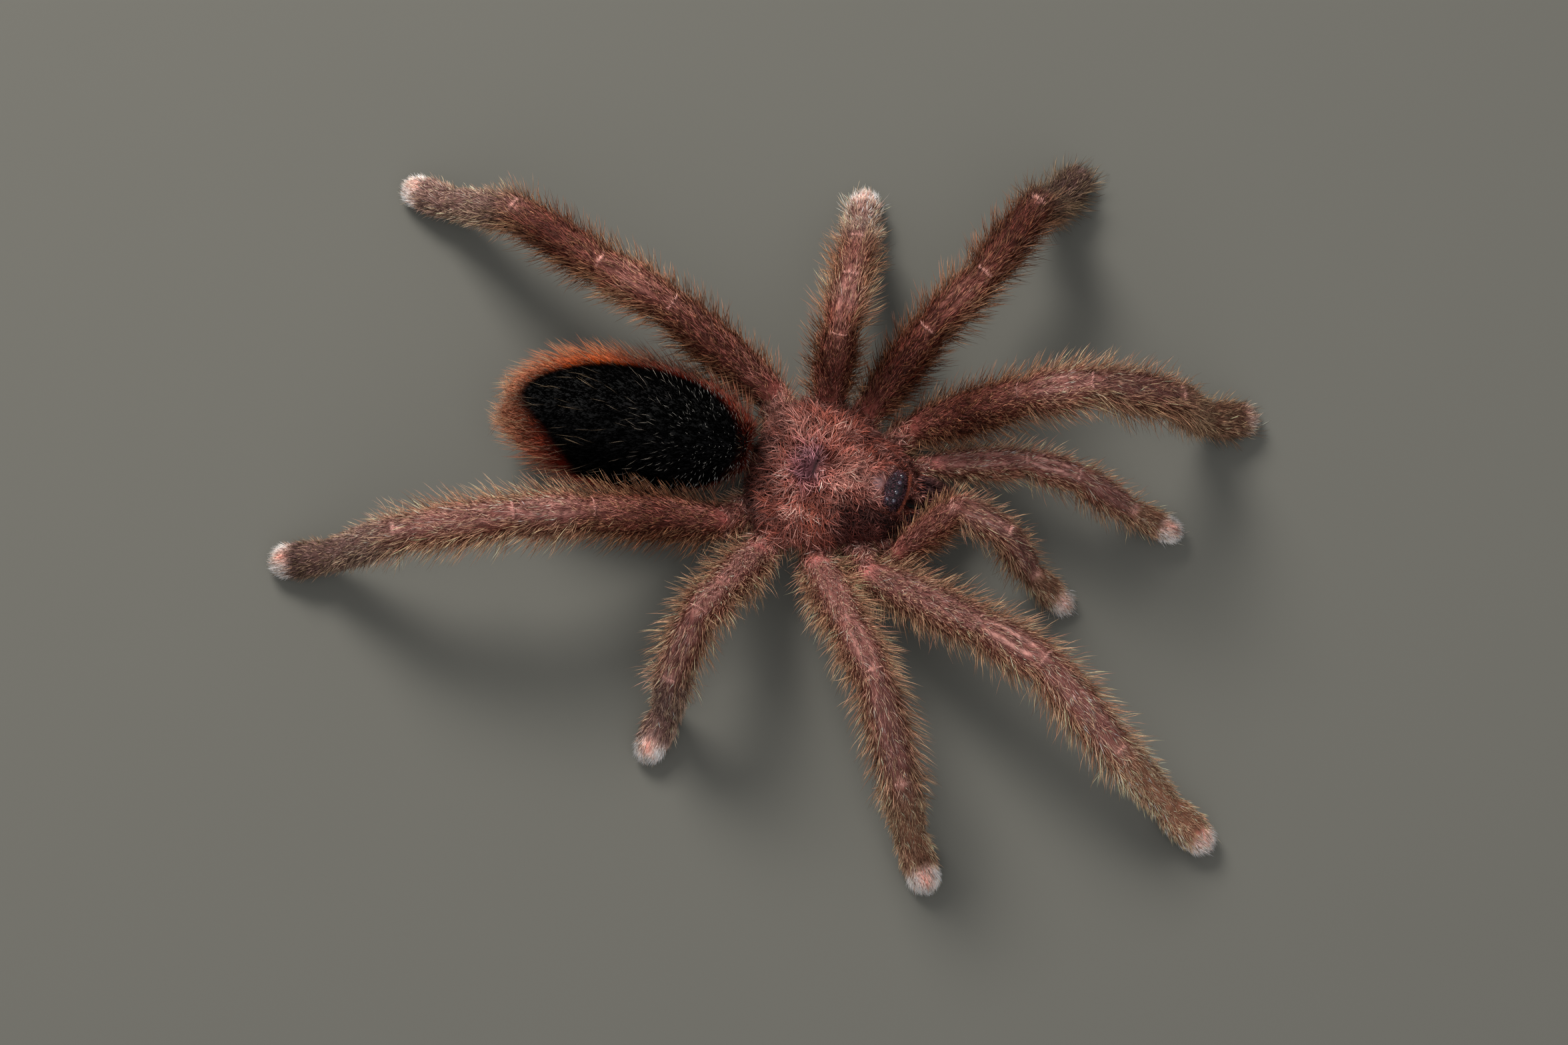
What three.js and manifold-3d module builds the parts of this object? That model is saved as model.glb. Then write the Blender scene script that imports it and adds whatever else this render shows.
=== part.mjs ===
// A pink-toed tarantula, life size, standing still on a floor with its legs spread.
// Millimetres. +X is the way the spider faces, +Y its left, +Z up, and the floor is z = 0.
// Until the last step, x = y = 0 is the pit in the middle of the carapace.
// Every solid reaches to the outside of the spider's dense coat of hair.

import * as THREE from 'three';
import { mergeVertices } from 'three/addons/utils/BufferGeometryUtils.js';
import Module from 'manifold-3d';

const wasm = await Module();
wasm.setup();

// ---- driving dimensions ----

const GAP = 0.3;              // left between two neighbouring pieces
const EYE_GAP = 0.1;          // left round each eye in its socket
const PIT_Z = 9.6;            // height of the carapace at its pit
const SOLE_PRESS = 0.3;       // how far a round foot would dip under the floor, were it not flat
const BLUNT_FROM = 0.8;       // the share of a tarsus that holds its girth before it rounds off
const LIMB_SIDES = 10;
const COXA_SIDES = 8;
const BODY_SIDES = 18;

const CARAPACE = { rear: -7.2, widest: -0.6, front: 11.0, halfWidth: 8.1, frontHalfWidth: 5.2 };
const CARAPACE_RIM_Z = PIT_Z - 3.3;
const STERNUM = { rear: -5.6, front: 6.8, halfWidth: 3.9, top: PIT_Z - 4.6, bottom: PIT_Z - 7.5 };
const ABDOMEN = { length: 29.6, halfWidth: 7.9, up: 6.9, down: 6.0, yaw: 5.5, droop: 3.5 };
const ABDOMEN_MIDDLE = new THREE.Vector3(-21.6, -1.25, PIT_Z - 1.8);
const TUBERCLE = { x: 9.3, halfLength: 1.0, halfWidth: 2.05, height: 0.85 };

// Length of each leg piece from joint to joint, and the leg's girth against a first leg's.
const LEG_SIZES = {
  1: { lengths: [16.4, 8.2, 12.2, 9.3, 6.4], girth: 1.0 },
  2: { lengths: [13.0, 8.3, 11.4, 9.0, 6.4], girth: 0.97 },
  3: { lengths: [11.0, 5.9, 7.2, 8.2, 5.6], girth: 0.93 },
  4: { lengths: [16.8, 8.6, 12.9, 12.5, 6.5], girth: 1.0 },
  palp: { lengths: [10.8, 5.9, 7.6, 6.5], girth: 0.8 },
};
const LEG_PIECES = ['femur', 'patella', 'tibia', 'metatarsus', 'tarsus'];
const PALP_PIECES = ['femur', 'patella', 'tibia', 'tarsus'];

// Radius at a piece's near end and far end, and how much it swells between them.
const PROFILES = {
  coxa: { near: 1.9, far: 2.25, swell: 0.1 },
  femur: { near: 2.2, far: 2.4, swell: 0.4 },
  patella: { near: 2.4, far: 2.4, swell: 0.25 },
  tibia: { near: 2.4, far: 2.2, swell: 0.25 },
  metatarsus: { near: 2.15, far: 1.9, swell: 0.1 },
  tarsus: { near: 1.9, far: 1.75, swell: 0.15 },
};

// Where each limb leaves the body: the inner end of its coxa and its hip, on the left.
const COXAE = {
  palp: { inner: [5.6, 2.4, -6.2], hip: [11.4, 5.8, -4.8], girth: 0.78 },
  1: { inner: [4.6, 2.6, -6.2], hip: [9.0, 9.1, -4.2], girth: 0.98 },
  2: { inner: [1.6, 2.8, -6.3], hip: [3.3, 9.4, -4.8], girth: 0.98 },
  3: { inner: [-1.4, 2.8, -6.3], hip: [-1.9, 9.3, -4.8], girth: 0.98 },
  4: { inner: [-4.0, 2.6, -6.2], hip: [-7.4, 8.1, -4.3], girth: 1.0 },
};

// The stance, in degrees. yaw is the leg's heading, from straight ahead out to its own side.
// turn adds to it from a piece on, and pitch is each piece's angle above the level.
// The pitch left null is worked out so that the foot meets the floor.
// hip shifts the hip from its usual place, in millimetres.
const STANCE = {
  left: {
    palp: { yaw: 14, turn: [0, -14, -2, 0], pitch: [14, 2, null, -24], hip: [0.8, 0.1] },
    1: { yaw: 17, turn: [0, 0, 11, 0, 0], pitch: [43, 23, -41, null, -26], hip: [0, 0] },
    2: { yaw: 64, turn: [0, 0, 10, 0, 0], pitch: [38, 0, -8, null, -28], hip: [0, 0] },
    3: { yaw: 96, turn: [0, 0, 5, 0, 0], pitch: [57, -4, -34, null, -27], hip: [0.7, -0.3] },
    4: { yaw: 166, turn: [0, 0, -7, 9, 0], pitch: [33, 0, -13, null, -22], hip: [0, 0] },
  },
  right: {
    palp: { yaw: -41, turn: [0, 46, 13, 0], pitch: [46, -22, null, -33], hip: [0, 0] },
    1: { yaw: 16, turn: [0, 0, 13, -7, 0], pitch: [23, 9, -21, null, -22], hip: [0, 0] },
    2: { yaw: 52, turn: [0, 0, 5, -4, 0], pitch: [34.5, 26, -23, null, -20], hip: [0, 0] },
    3: { yaw: 104, turn: [0, 0, -5, -1, 0], pitch: [40.5, 33, -42, null, -14], hip: [-1.2, 0.7] },
    4: { yaw: 155, turn: [0, 0, 3, 6, 0], pitch: [28, 13, -13, null, -22], hip: [-0.7, 0] },
  },
};

// Eyes on the low mound: forward and sideways from its middle, and radius.
const EYES = {
  front_middle: { forward: 0.42, side: 0.6, radius: 0.34 },
  front_outer: { forward: 0.4, side: 1.5, radius: 0.32 },
  rear_middle: { forward: -0.34, side: 0.85, radius: 0.22 },
  rear_outer: { forward: -0.3, side: 1.52, radius: 0.28 },
};

const COLOURS = {
  carapace: 0x8a4a42,
  leg: 0x7a4b45,
  foot: 0x6f4a46,
  abdomen: 0x1c1210,
  underside: 0x5b352e,
  chelicera: 0x6e3a33,
  horn: 0x140b0a,
  eye: 0x0b0b10,
};

// ---- solids ----

const radians = THREE.MathUtils.degToRad;
const lerp = THREE.MathUtils.lerp;
const smooth = (x, low, high) => THREE.MathUtils.smoothstep(x, low, high);

// A closed body through rings of equally many points, with a fan over each end.
// The rings turn anticlockwise when seen from the last ring's side.
function loft(rings) {
  const count = rings[0].length;
  const points = rings.flat();
  const middle = (ring) => ring.reduce((sum, p) => sum.add(p), new THREE.Vector3())
    .divideScalar(count);
  const firstMiddle = points.push(middle(rings[0])) - 1;
  const lastMiddle = points.push(middle(rings.at(-1))) - 1;
  const faces = [];
  for (let i = 0; i < count; i++) {
    const j = (i + 1) % count;
    faces.push(firstMiddle, j, i);
    const last = (rings.length - 1) * count;
    faces.push(lastMiddle, last + i, last + j);
    for (let k = 0; k < rings.length - 1; k++) {
      const a = k * count;
      const b = a + count;
      faces.push(a + i, a + j, b + j, a + i, b + j, b + i);
    }
  }
  return toSolid(new THREE.BufferGeometry().setFromPoints(points).setIndex(faces));
}

function toSolid(geometry) {
  for (const name of Object.keys(geometry.attributes)) {
    if (name !== 'position') geometry.deleteAttribute(name);
  }
  const merged = mergeVertices(geometry, 1e-5);
  return new wasm.Manifold(new wasm.Mesh({
    numProp: 3,
    vertProperties: new Float32Array(merged.attributes.position.array),
    triVerts: new Uint32Array(merged.index.array),
  }));
}

function toGeometry(solid) {
  const { vertProperties, triVerts } = solid.getMesh();
  const geometry = new THREE.BufferGeometry();
  geometry.setAttribute('position', new THREE.BufferAttribute(vertProperties, 3));
  geometry.setIndex(new THREE.BufferAttribute(triVerts, 1));
  return geometry;
}

// An ellipsoid at a place, with its half sizes.
function ellipsoid(place, halfSizes, columns, rows) {
  const geometry = new THREE.SphereGeometry(1, columns, rows);
  geometry.scale(...halfSizes);
  geometry.translate(...place);
  return toSolid(geometry);
}

// ---- limbs ----

// How high a tarsus ends, for its underside to meet the floor where its blunt end begins.
function tipHeight(girth, length, pitch) {
  const radius = girth * PROFILES.tarsus.far;
  return radius * Math.cos(pitch) + (1 - BLUNT_FROM) * length * Math.sin(pitch) - SOLE_PRESS;
}

// The joints of a limb from its hip to its tip. The free pitch brings the foot to the floor.
function limbJoints(kind, side) {
  const { yaw, turn, pitch, hip } = STANCE[side][kind];
  const { lengths, girth } = LEG_SIZES[kind];
  const [x, y, z] = COXAE[kind].hip;
  const sign = side === 'left' ? 1 : -1;
  const joints = [new THREE.Vector3(x + hip[0], sign * (y + hip[1]), PIT_Z + z)];
  let heading = yaw;
  lengths.forEach((length, i) => {
    const from = joints.at(-1);
    heading += turn[i];
    let rise = radians(pitch[i] ?? 0);
    if (pitch[i] === null) {
      const next = radians(pitch[i + 1]);
      const drop = lengths[i + 1] * Math.sin(next);
      rise = Math.asin((tipHeight(girth, lengths[i + 1], next) - drop - from.z) / length);
    }
    const way = new THREE.Vector3(
      Math.cos(rise) * Math.cos(radians(heading)),
      sign * Math.cos(rise) * Math.sin(radians(heading)),
      Math.sin(rise),
    );
    joints.push(way.multiplyScalar(length).add(from));
  });
  return joints;
}

// The plane that mitres two pieces at their joint.
function mitre(before, joint, after) {
  const inward = joint.clone().sub(before).normalize();
  const outward = after.clone().sub(joint).normalize();
  return inward.add(outward).normalize();
}

// Rings of one limb piece between two joints. Each ring point runs along the piece
// from the plane of the near joint to the plane of the far joint, at the profile's radius.
function pieceRings({
  from, to, nearPlane, farPlane, radiusAt, stations, nearGap, farGap, sides = LIMB_SIDES,
}) {
  const way = to.clone().sub(from).normalize();
  const level = new THREE.Vector3(0, 0, 1).cross(way).normalize();
  const above = way.clone().cross(level);
  return stations.map((u) => {
    const radius = radiusAt(u);
    return Array.from({ length: sides }, (_, i) => {
      const angle = (2 * Math.PI * (i + 0.5)) / sides;
      const spoke = level.clone().multiplyScalar(radius * Math.cos(angle))
        .addScaledVector(above, radius * Math.sin(angle));
      const start = (nearGap - spoke.dot(nearPlane)) / way.dot(nearPlane);
      const reach = to.clone().sub(from).sub(spoke);
      const end = (reach.dot(farPlane) - farGap) / way.dot(farPlane);
      return from.clone().add(spoke).addScaledVector(way, lerp(start, end, u));
    });
  });
}

function profileRadius(piece, girth, grow) {
  const { near, far, swell } = PROFILES[piece];
  return (u) => girth * (lerp(near, far, u) + swell * Math.sin(Math.PI * u)) + grow;
}

// The pieces of one limb, each a function that makes its solid, grown by a margin.
function limbPieces(kind, side) {
  const joints = limbJoints(kind, side);
  const names = kind === 'palp' ? PALP_PIECES : LEG_PIECES;
  const { girth } = LEG_SIZES[kind];
  const hipPlane = mitre(coxaInner(kind, side), joints[0], joints[1]);
  const planes = [hipPlane];
  for (let i = 1; i < joints.length - 1; i++) {
    planes.push(mitre(joints[i - 1], joints[i], joints[i + 1]));
  }
  planes.push(joints.at(-1).clone().sub(joints.at(-2)).normalize());

  const rings = (i, grow, stations, nearGap, farGap) => pieceRings({
    from: joints[i],
    to: joints[i + 1],
    nearPlane: planes[i],
    farPlane: planes[i + 1],
    radiusAt: names[i] === 'tarsus' ? tarsusRadius(girth, grow) : profileRadius(names[i], girth, grow),
    stations,
    nearGap,
    farGap,
  });
  const last = names.length - 1;
  const footStart = kind === 'palp' ? last : last - 1;
  const pieces = {};
  for (let i = 0; i < footStart; i++) {
    const stations = [0, 0.3, 0.65, 1];
    pieces[names[i]] = (grow) => loft(rings(i, grow, stations, GAP / 2, GAP / 2));
  }
  const tip = [0, 0.3, 0.6, 0.82, 0.93, 1];
  if (kind === 'palp') {
    pieces.tarsus = (grow) => loft(onFloor(rings(last, grow, tip, GAP / 2, -grow)));
  } else {
    pieces.foot = (grow) => {
      const metatarsus = rings(last - 1, grow, [0, 0.35, 0.7, 1], GAP / 2, 0);
      const tarsus = rings(last, grow, tip, 0, -grow).slice(1);
      return loft(onFloor([...metatarsus, ...tarsus]));
    };
  }
  return pieces;
}

// A tarsus is blunt: its radius holds for most of its length, then rounds off.
function tarsusRadius(girth, grow) {
  const straight = profileRadius('tarsus', girth, grow);
  const tipShare = 0.45;
  return (u) => {
    const t = Math.max(0, (u - BLUNT_FROM) / (1 - BLUNT_FROM));
    return straight(u) * lerp(1, tipShare, 1 - Math.sqrt(1 - t * t));
  };
}

// The sole: whatever would dip under the floor is pressed flat on it.
function onFloor(rings) {
  rings.flat().forEach((p) => { p.z = Math.max(p.z, 0); });
  return rings;
}

function coxaInner(kind, side) {
  const [x, y, z] = COXAE[kind].inner;
  return new THREE.Vector3(x, side === 'left' ? y : -y, PIT_Z + z);
}

function coxa(kind, side, grow) {
  const [hip, knee] = limbJoints(kind, side);
  const inner = coxaInner(kind, side);
  const way = hip.clone().sub(inner).normalize();
  return loft(pieceRings({
    from: inner,
    to: hip,
    nearPlane: way,
    farPlane: mitre(inner, hip, knee),
    radiusAt: profileRadius('coxa', COXAE[kind].girth, grow),
    stations: [0, 0.55, 1],
    nearGap: 0,
    farGap: GAP / 2,
    sides: COXA_SIDES,
  }));
}

// ---- body ----

// A ring across the body: half width, and heights above and below a level line.
// roundness below 1 makes the top a flatter arch.
function bodyRing({ at, across, halfWidth, up, down, roundness }) {
  return Array.from({ length: BODY_SIDES }, (_, i) => {
    const angle = (2 * Math.PI * i) / BODY_SIDES;
    const sine = Math.sin(angle);
    const height = Math.sign(sine) * Math.abs(sine) ** roundness * (sine > 0 ? up : down);
    return at.clone().addScaledVector(across, halfWidth * Math.cos(angle))
      .add(new THREE.Vector3(0, 0, height));
  });
}

function carapaceHalfWidth(x) {
  const { rear, widest, front, halfWidth, frontHalfWidth } = CARAPACE;
  if (x < widest) {
    const t = (widest - x) / (widest - rear);
    return halfWidth * (1 - t ** 2.6) ** (1 / 2.2);
  }
  const t = (x - widest) / (front - widest);
  const corner = Math.max(0, (x - (front - 2)) / 2);
  return lerp(halfWidth, frontHalfWidth, smooth(t, 0, 1)) * Math.sqrt(1 - 0.55 * corner ** 2);
}

// Height of the carapace along its middle: low at the rear, a dip at the pit,
// a gentle dome over the head, and a step down to the front edge.
function carapaceTop(x) {
  const { rear, front } = CARAPACE;
  const rearFall = 2.5 * (Math.max(0, -x) / -rear) ** 2.2;
  const head = 0.9 * smooth(x, 0, 5);
  const frontFall = 1.7 * (Math.max(0, x - 6.5) / (front - 6.5)) ** 2;
  return PIT_Z - rearFall + head - frontFall;
}

function carapace(grow) {
  const { rear, front } = CARAPACE;
  const across = new THREE.Vector3(0, 1, 0);
  const count = 13;
  const rings = Array.from({ length: count }, (_, k) => {
    const u = 0.5 - 0.5 * Math.cos(Math.PI * lerp(0.08, 0.94, k / (count - 1)));
    const x = lerp(rear - grow, front + grow, u);
    const inside = THREE.MathUtils.clamp(x, rear + 0.1, front);
    return bodyRing({
      at: new THREE.Vector3(x, 0, CARAPACE_RIM_Z),
      across,
      halfWidth: carapaceHalfWidth(inside) + grow,
      up: carapaceTop(inside) - CARAPACE_RIM_Z + grow,
      down: 0.75 + grow,
      roundness: 0.85,
    });
  });
  const pit = ellipsoid([0, 0, PIT_Z + 0.1], [0.5, 1.3, 0.55], 10, 6);
  return loft(rings).subtract(pit);
}

// The abdomen's own frame: along runs from its front end to its rear end.
function abdomenFrame() {
  const angle = radians(ABDOMEN.yaw);
  const along = new THREE.Vector3(-Math.cos(angle), -Math.sin(angle), 0);
  const across = new THREE.Vector3(Math.sin(angle), -Math.cos(angle), 0);
  return { along, across };
}

// A point on the abdomen's centre line, u = 0 at the front end and 1 at the rear.
function abdomenMiddle(u) {
  const { along } = abdomenFrame();
  const place = ABDOMEN_MIDDLE.clone().addScaledVector(along, (u - 0.5) * ABDOMEN.length);
  place.z += ABDOMEN.droop * (0.5 - u) * 0.6;
  return place;
}

// A blunt oval outline, the same at both ends.
function abdomenFullness(u) {
  const t = u ** 0.98;
  return (4 * t * (1 - t)) ** 0.47;
}

function abdomen(grow) {
  const { across } = abdomenFrame();
  const count = 14;
  const rings = Array.from({ length: count }, (_, k) => {
    const u = 0.5 - 0.5 * Math.cos(Math.PI * lerp(0.07, 0.93, k / (count - 1)));
    const full = abdomenFullness(u);
    return bodyRing({
      at: abdomenMiddle(u),
      across,
      halfWidth: ABDOMEN.halfWidth * full + grow,
      up: ABDOMEN.up * full + grow,
      down: ABDOMEN.down * full + grow,
      roundness: 0.95,
    });
  });
  return loft(rings);
}

// A tapered tube along a curve, its far end rounded off.
function horn(points, nearRadius, farRadius, steps, grow) {
  const curve = new THREE.CatmullRomCurve3(points.map((p) => new THREE.Vector3(...p)));
  const rings = Array.from({ length: steps + 1 }, (_, k) => {
    const u = k / steps;
    const at = curve.getPointAt(u);
    const way = curve.getTangentAt(u);
    const level = new THREE.Vector3(0, 1, 0).cross(way).normalize();
    const above = way.clone().cross(level);
    const radius = lerp(nearRadius, farRadius, u) + grow;
    return Array.from({ length: 8 }, (_, i) => {
      const angle = (2 * Math.PI * i) / 8;
      return at.clone().addScaledVector(level, radius * Math.cos(angle))
        .addScaledVector(above, radius * Math.sin(angle));
    });
  });
  return loft(rings);
}

// One jaw: a deep, arched body that bends down at its front end.
function chelicera(sign, grow) {
  const y = sign * 2.0;
  const spine = new THREE.CatmullRomCurve3([
    new THREE.Vector3(9.9, y, PIT_Z - 3.4),
    new THREE.Vector3(12.2, y, PIT_Z - 3.7),
    new THREE.Vector3(13.6, y, PIT_Z - 5.0),
    new THREE.Vector3(13.9, y * 0.95, PIT_Z - 6.6),
  ]);
  const stations = [0, 0.22, 0.42, 0.6, 0.78, 0.92, 1];
  const sideways = new THREE.Vector3(0, 1, 0);
  const rings = stations.map((u) => {
    const at = spine.getPointAt(u);
    const above = spine.getTangentAt(u).cross(sideways);
    const end = Math.sqrt(1 - 0.72 * smooth(u, 0.55, 1) ** 2);
    const halfWidth = 1.8 * end + grow;
    const halfDepth = lerp(2.2, 1.8, u) * end + grow;
    return Array.from({ length: 14 }, (_, i) => {
      const angle = (2 * Math.PI * i) / 14;
      return at.clone().addScaledVector(sideways, halfWidth * Math.cos(angle))
        .addScaledVector(above, halfDepth * Math.sin(angle));
    });
  });
  return loft(rings);
}

function fang(sign, grow) {
  const points = [
    [13.7, sign * 1.8, PIT_Z - 7.2],
    [13.2, sign * 1.7, PIT_Z - 7.9],
    [11.9, sign * 1.5, PIT_Z - 8.3],
    [10.2, sign * 1.3, PIT_Z - 8.1],
  ];
  return horn(points, 0.72, 0.26, 6, grow);
}

function spinneret(sign, grow) {
  const base = abdomenMiddle(0.9);
  const { along, across } = abdomenFrame();
  const place = (out, back, down) => base.clone().addScaledVector(across, out)
    .addScaledVector(along, back).add(new THREE.Vector3(0, 0, -down)).toArray();
  const points = [
    place(sign * 1.2, -1.6, 3.6),
    place(sign * 1.4, 0.4, 4.1),
    place(sign * 1.6, 2.4, 3.6),
  ];
  return horn(points, 0.95, 0.55, 4, grow);
}

function pedicel(grow) {
  const points = [[-6.4, 0, PIT_Z - 4.7], [-8.0, 0.4, PIT_Z - 4.4], [-10.4, 0.8, PIT_Z - 3.7]];
  return horn(points, 1.3, 1.4, 3, grow);
}

// The shield under the body, with the lip before it and the ten coxae joined on.
function underside(grow) {
  const { rear, front, halfWidth, top, bottom } = STERNUM;
  const across = new THREE.Vector3(0, 1, 0);
  const rings = Array.from({ length: 7 }, (_, k) => {
    const u = 0.5 - 0.5 * Math.cos(Math.PI * lerp(0.12, 0.9, k / 6));
    const full = (4 * u * (1 - u)) ** 0.4;
    return bodyRing({
      at: new THREE.Vector3(lerp(rear, front, u), 0, (top + bottom) / 2),
      across,
      halfWidth: halfWidth * full + grow,
      up: (top - bottom) / 2 + grow,
      down: ((top - bottom) / 2) * full + grow,
      roundness: 0.7,
    });
  });
  let solid = loft(rings).add(ellipsoid([7.2, 0, PIT_Z - 6.7], [1.3 + grow, 1.3 + grow, 0.9 + grow], 10, 6));
  for (const side of ['left', 'right']) {
    for (const kind of Object.keys(COXAE)) solid = solid.add(coxa(kind, side, grow));
  }
  return solid;
}

function tubercleHeight(forward, side) {
  const { halfLength, halfWidth, height } = TUBERCLE;
  const rest = 1 - (forward / halfLength) ** 2 - (side / halfWidth) ** 2;
  return carapaceTop(TUBERCLE.x) - 0.15 + height * Math.sqrt(Math.max(0.05, rest));
}

function tubercle(grow) {
  const { x, halfLength, halfWidth, height } = TUBERCLE;
  const place = [x, 0, carapaceTop(x) - 0.15];
  return ellipsoid(place, [halfLength + grow, halfWidth + grow, height + grow], 12, 6);
}

function eye(name, sign, grow) {
  const { forward, side, radius } = EYES[name];
  const z = tubercleHeight(forward, side) - 0.3 * radius;
  const size = radius + grow;
  return ellipsoid([TUBERCLE.x + forward, sign * side, z], [size, size, size], 7, 5);
}

// ---- the model ----

const clay = (colour, roughness) => new THREE.MeshStandardMaterial({ color: colour, roughness, metalness: 0 });
const MATERIALS = {
  carapace: clay(COLOURS.carapace, 0.8),
  leg: clay(COLOURS.leg, 0.85),
  foot: clay(COLOURS.foot, 0.85),
  abdomen: clay(COLOURS.abdomen, 0.95),
  underside: clay(COLOURS.underside, 0.9),
  chelicera: clay(COLOURS.chelicera, 0.85),
  horn: clay(COLOURS.horn, 0.3),
  eye: clay(COLOURS.eye, 0.1),
};

// Every piece: its name, its material, what makes it and the limb it belongs to.
const pieces = [];
const addPiece = (name, material, make, limb = name) => pieces.push({ name, material, make, limb });

const SIDES = [['left', 1], ['right', -1]];
for (const [side, sign] of SIDES) {
  for (const name of Object.keys(EYES)) {
    addPiece(`${side}_${name}_eye`, 'eye', (grow) => eye(name, sign, grow && EYE_GAP));
  }
}
addPiece('eye_tubercle', 'horn', tubercle);
addPiece('carapace', 'carapace', carapace);
addPiece('abdomen', 'abdomen', abdomen);
for (const [side, sign] of SIDES) {
  addPiece(`${side}_chelicera`, 'chelicera', (grow) => chelicera(sign, grow));
  addPiece(`${side}_fang`, 'horn', (grow) => fang(sign, grow));
  addPiece(`${side}_spinneret`, 'underside', (grow) => spinneret(sign, grow));
}
addPiece('sternum_and_coxae', 'underside', underside);
addPiece('pedicel', 'underside', pedicel);
for (const [side] of SIDES) {
  for (const kind of ['1', '2', '3', '4', 'palp']) {
    const limb = kind === 'palp' ? `${side}_palp` : `${side}_leg_${kind}`;
    for (const [piece, make] of Object.entries(limbPieces(kind, side))) {
      const end = piece === 'foot' || piece === 'tarsus';
      addPiece(`${limb}_${piece}`, end ? 'foot' : 'leg', make, limb);
    }
  }
}

// Earlier pieces keep their shape, and later ones stand clear of them by the gap.
const boxesMeet = (a, b) => a.min.every((low, i) => low < b.max[i] && b.min[i] < a.max[i]);
const group = new THREE.Group();
const standing = [];
for (const { name, material, make, limb } of pieces) {
  let solid = make(0);
  for (const other of standing) {
    const related = other.limb === limb;
    if (related || !boxesMeet(solid.boundingBox(), other.grown.boundingBox())) continue;
    const cut = solid.subtract(other.grown);
    if (cut.volume() < solid.volume() - 1e-6) solid = cut;
  }
  standing.push({ limb, grown: make(GAP) });
  const mesh = new THREE.Mesh(toGeometry(solid), MATERIALS[material]);
  mesh.name = name;
  group.add(mesh);
}

// The model is centred over its own floor area.
const box = new THREE.Box3().setFromObject(group);
const middle = box.getCenter(new THREE.Vector3());
group.position.set(-middle.x, -middle.y, 0);

export default group;
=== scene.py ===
"""A pink-toed tarantula that stands still with its legs spread, at life size.

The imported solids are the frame. This file dresses them: one skin for all the flesh, a coat
of solid hairs over it, and the eyes, fangs and claws as pieces of their own.
The animal's own sizes are in millimetres, with x = y = 0 at the pit in the middle of the
carapace, +X ahead and +Y to the spider's left. Meshes are made in metres in the frame's place.
"""

import math
from typing import Callable, NamedTuple

import bpy
import numpy as np
from bpy.props import FloatProperty, FloatVectorProperty, PointerProperty
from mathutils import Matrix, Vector


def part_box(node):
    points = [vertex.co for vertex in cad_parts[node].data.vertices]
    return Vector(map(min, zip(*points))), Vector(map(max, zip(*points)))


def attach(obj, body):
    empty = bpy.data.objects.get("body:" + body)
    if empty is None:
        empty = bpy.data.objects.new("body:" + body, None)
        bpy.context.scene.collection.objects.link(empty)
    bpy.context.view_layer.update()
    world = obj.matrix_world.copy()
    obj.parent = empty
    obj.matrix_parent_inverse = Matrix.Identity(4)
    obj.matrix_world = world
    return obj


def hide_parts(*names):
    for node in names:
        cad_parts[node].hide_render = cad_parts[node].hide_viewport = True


bl_info = {
    "name": "Pink-toed tarantula",
    "version": (1, 0, 0),
    "blender": (4, 5, 0),
    "location": "3D View > Sidebar > Tarantula",
    "description": "Dresses the tarantula's solids with skin, hair, eyes, fangs and claws",
    "category": "Object",
}

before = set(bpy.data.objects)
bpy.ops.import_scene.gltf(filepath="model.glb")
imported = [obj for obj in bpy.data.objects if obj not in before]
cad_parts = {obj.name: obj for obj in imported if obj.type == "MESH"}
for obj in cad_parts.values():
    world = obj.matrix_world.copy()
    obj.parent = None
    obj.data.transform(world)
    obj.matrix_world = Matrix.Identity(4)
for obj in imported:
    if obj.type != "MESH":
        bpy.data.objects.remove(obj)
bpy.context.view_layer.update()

MM = 0.001

# ---- the animal's sizes, in millimetres and degrees, as its solids have them ----

PIT_Z = 9.6                   # height of the carapace at its pit
CARAPACE_RIM_Z = PIT_Z - 3.3
CARAPACE = {"rear": -7.2, "widest": -0.6, "front": 11.0, "half_width": 8.1, "front_half_width": 5.2}
PIT_TO_CARAPACE_MIDDLE = 1.962
STERNUM = {"rear": -5.6, "front": 6.8, "half_width": 3.9, "top": PIT_Z - 4.6, "bottom": PIT_Z - 7.5}
LIP = {"place": (7.2, 0.0, PIT_Z - 6.7), "half_sizes": (1.3, 1.3, 0.9)}
ABDOMEN = {"length": 29.6, "half_width": 7.9, "up": 6.9, "down": 6.0, "yaw": 5.5, "droop": 3.5}
ABDOMEN_MIDDLE = np.array([-21.6, -1.25, PIT_Z - 1.8])
BROW = {"x": 10.5, "half_width": 2.2}
MOUND = {"x": 9.3, "half_length": 1.0, "half_width": 2.05, "height": 0.85}
SOLE_PRESS = 0.3              # how far a round foot would dip under the floor, were it not flat
BLUNT_FROM = 0.8              # the share of a tarsus that holds its girth before it rounds off

LEG_SIZES = {
    "leg_1": {"lengths": (16.4, 8.2, 12.2, 9.3, 6.4), "girth": 1.0},
    "leg_2": {"lengths": (13.0, 8.3, 11.4, 9.0, 6.4), "girth": 0.97},
    "leg_3": {"lengths": (11.0, 5.9, 7.2, 8.2, 5.6), "girth": 0.93},
    "leg_4": {"lengths": (16.8, 8.6, 12.9, 12.5, 6.5), "girth": 1.0},
    "palp": {"lengths": (10.8, 5.9, 7.6, 6.5), "girth": 0.8},
}
LEG_PIECES = ("coxa", "femur", "patella", "tibia", "metatarsus", "tarsus")
PALP_PIECES = ("coxa", "femur", "patella", "tibia", "tarsus")
FOOT_PIECES = ("metatarsus", "tarsus")
JOINTED = ("femur", "patella", "tibia")      # their far joints show a bare patch on top

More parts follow.
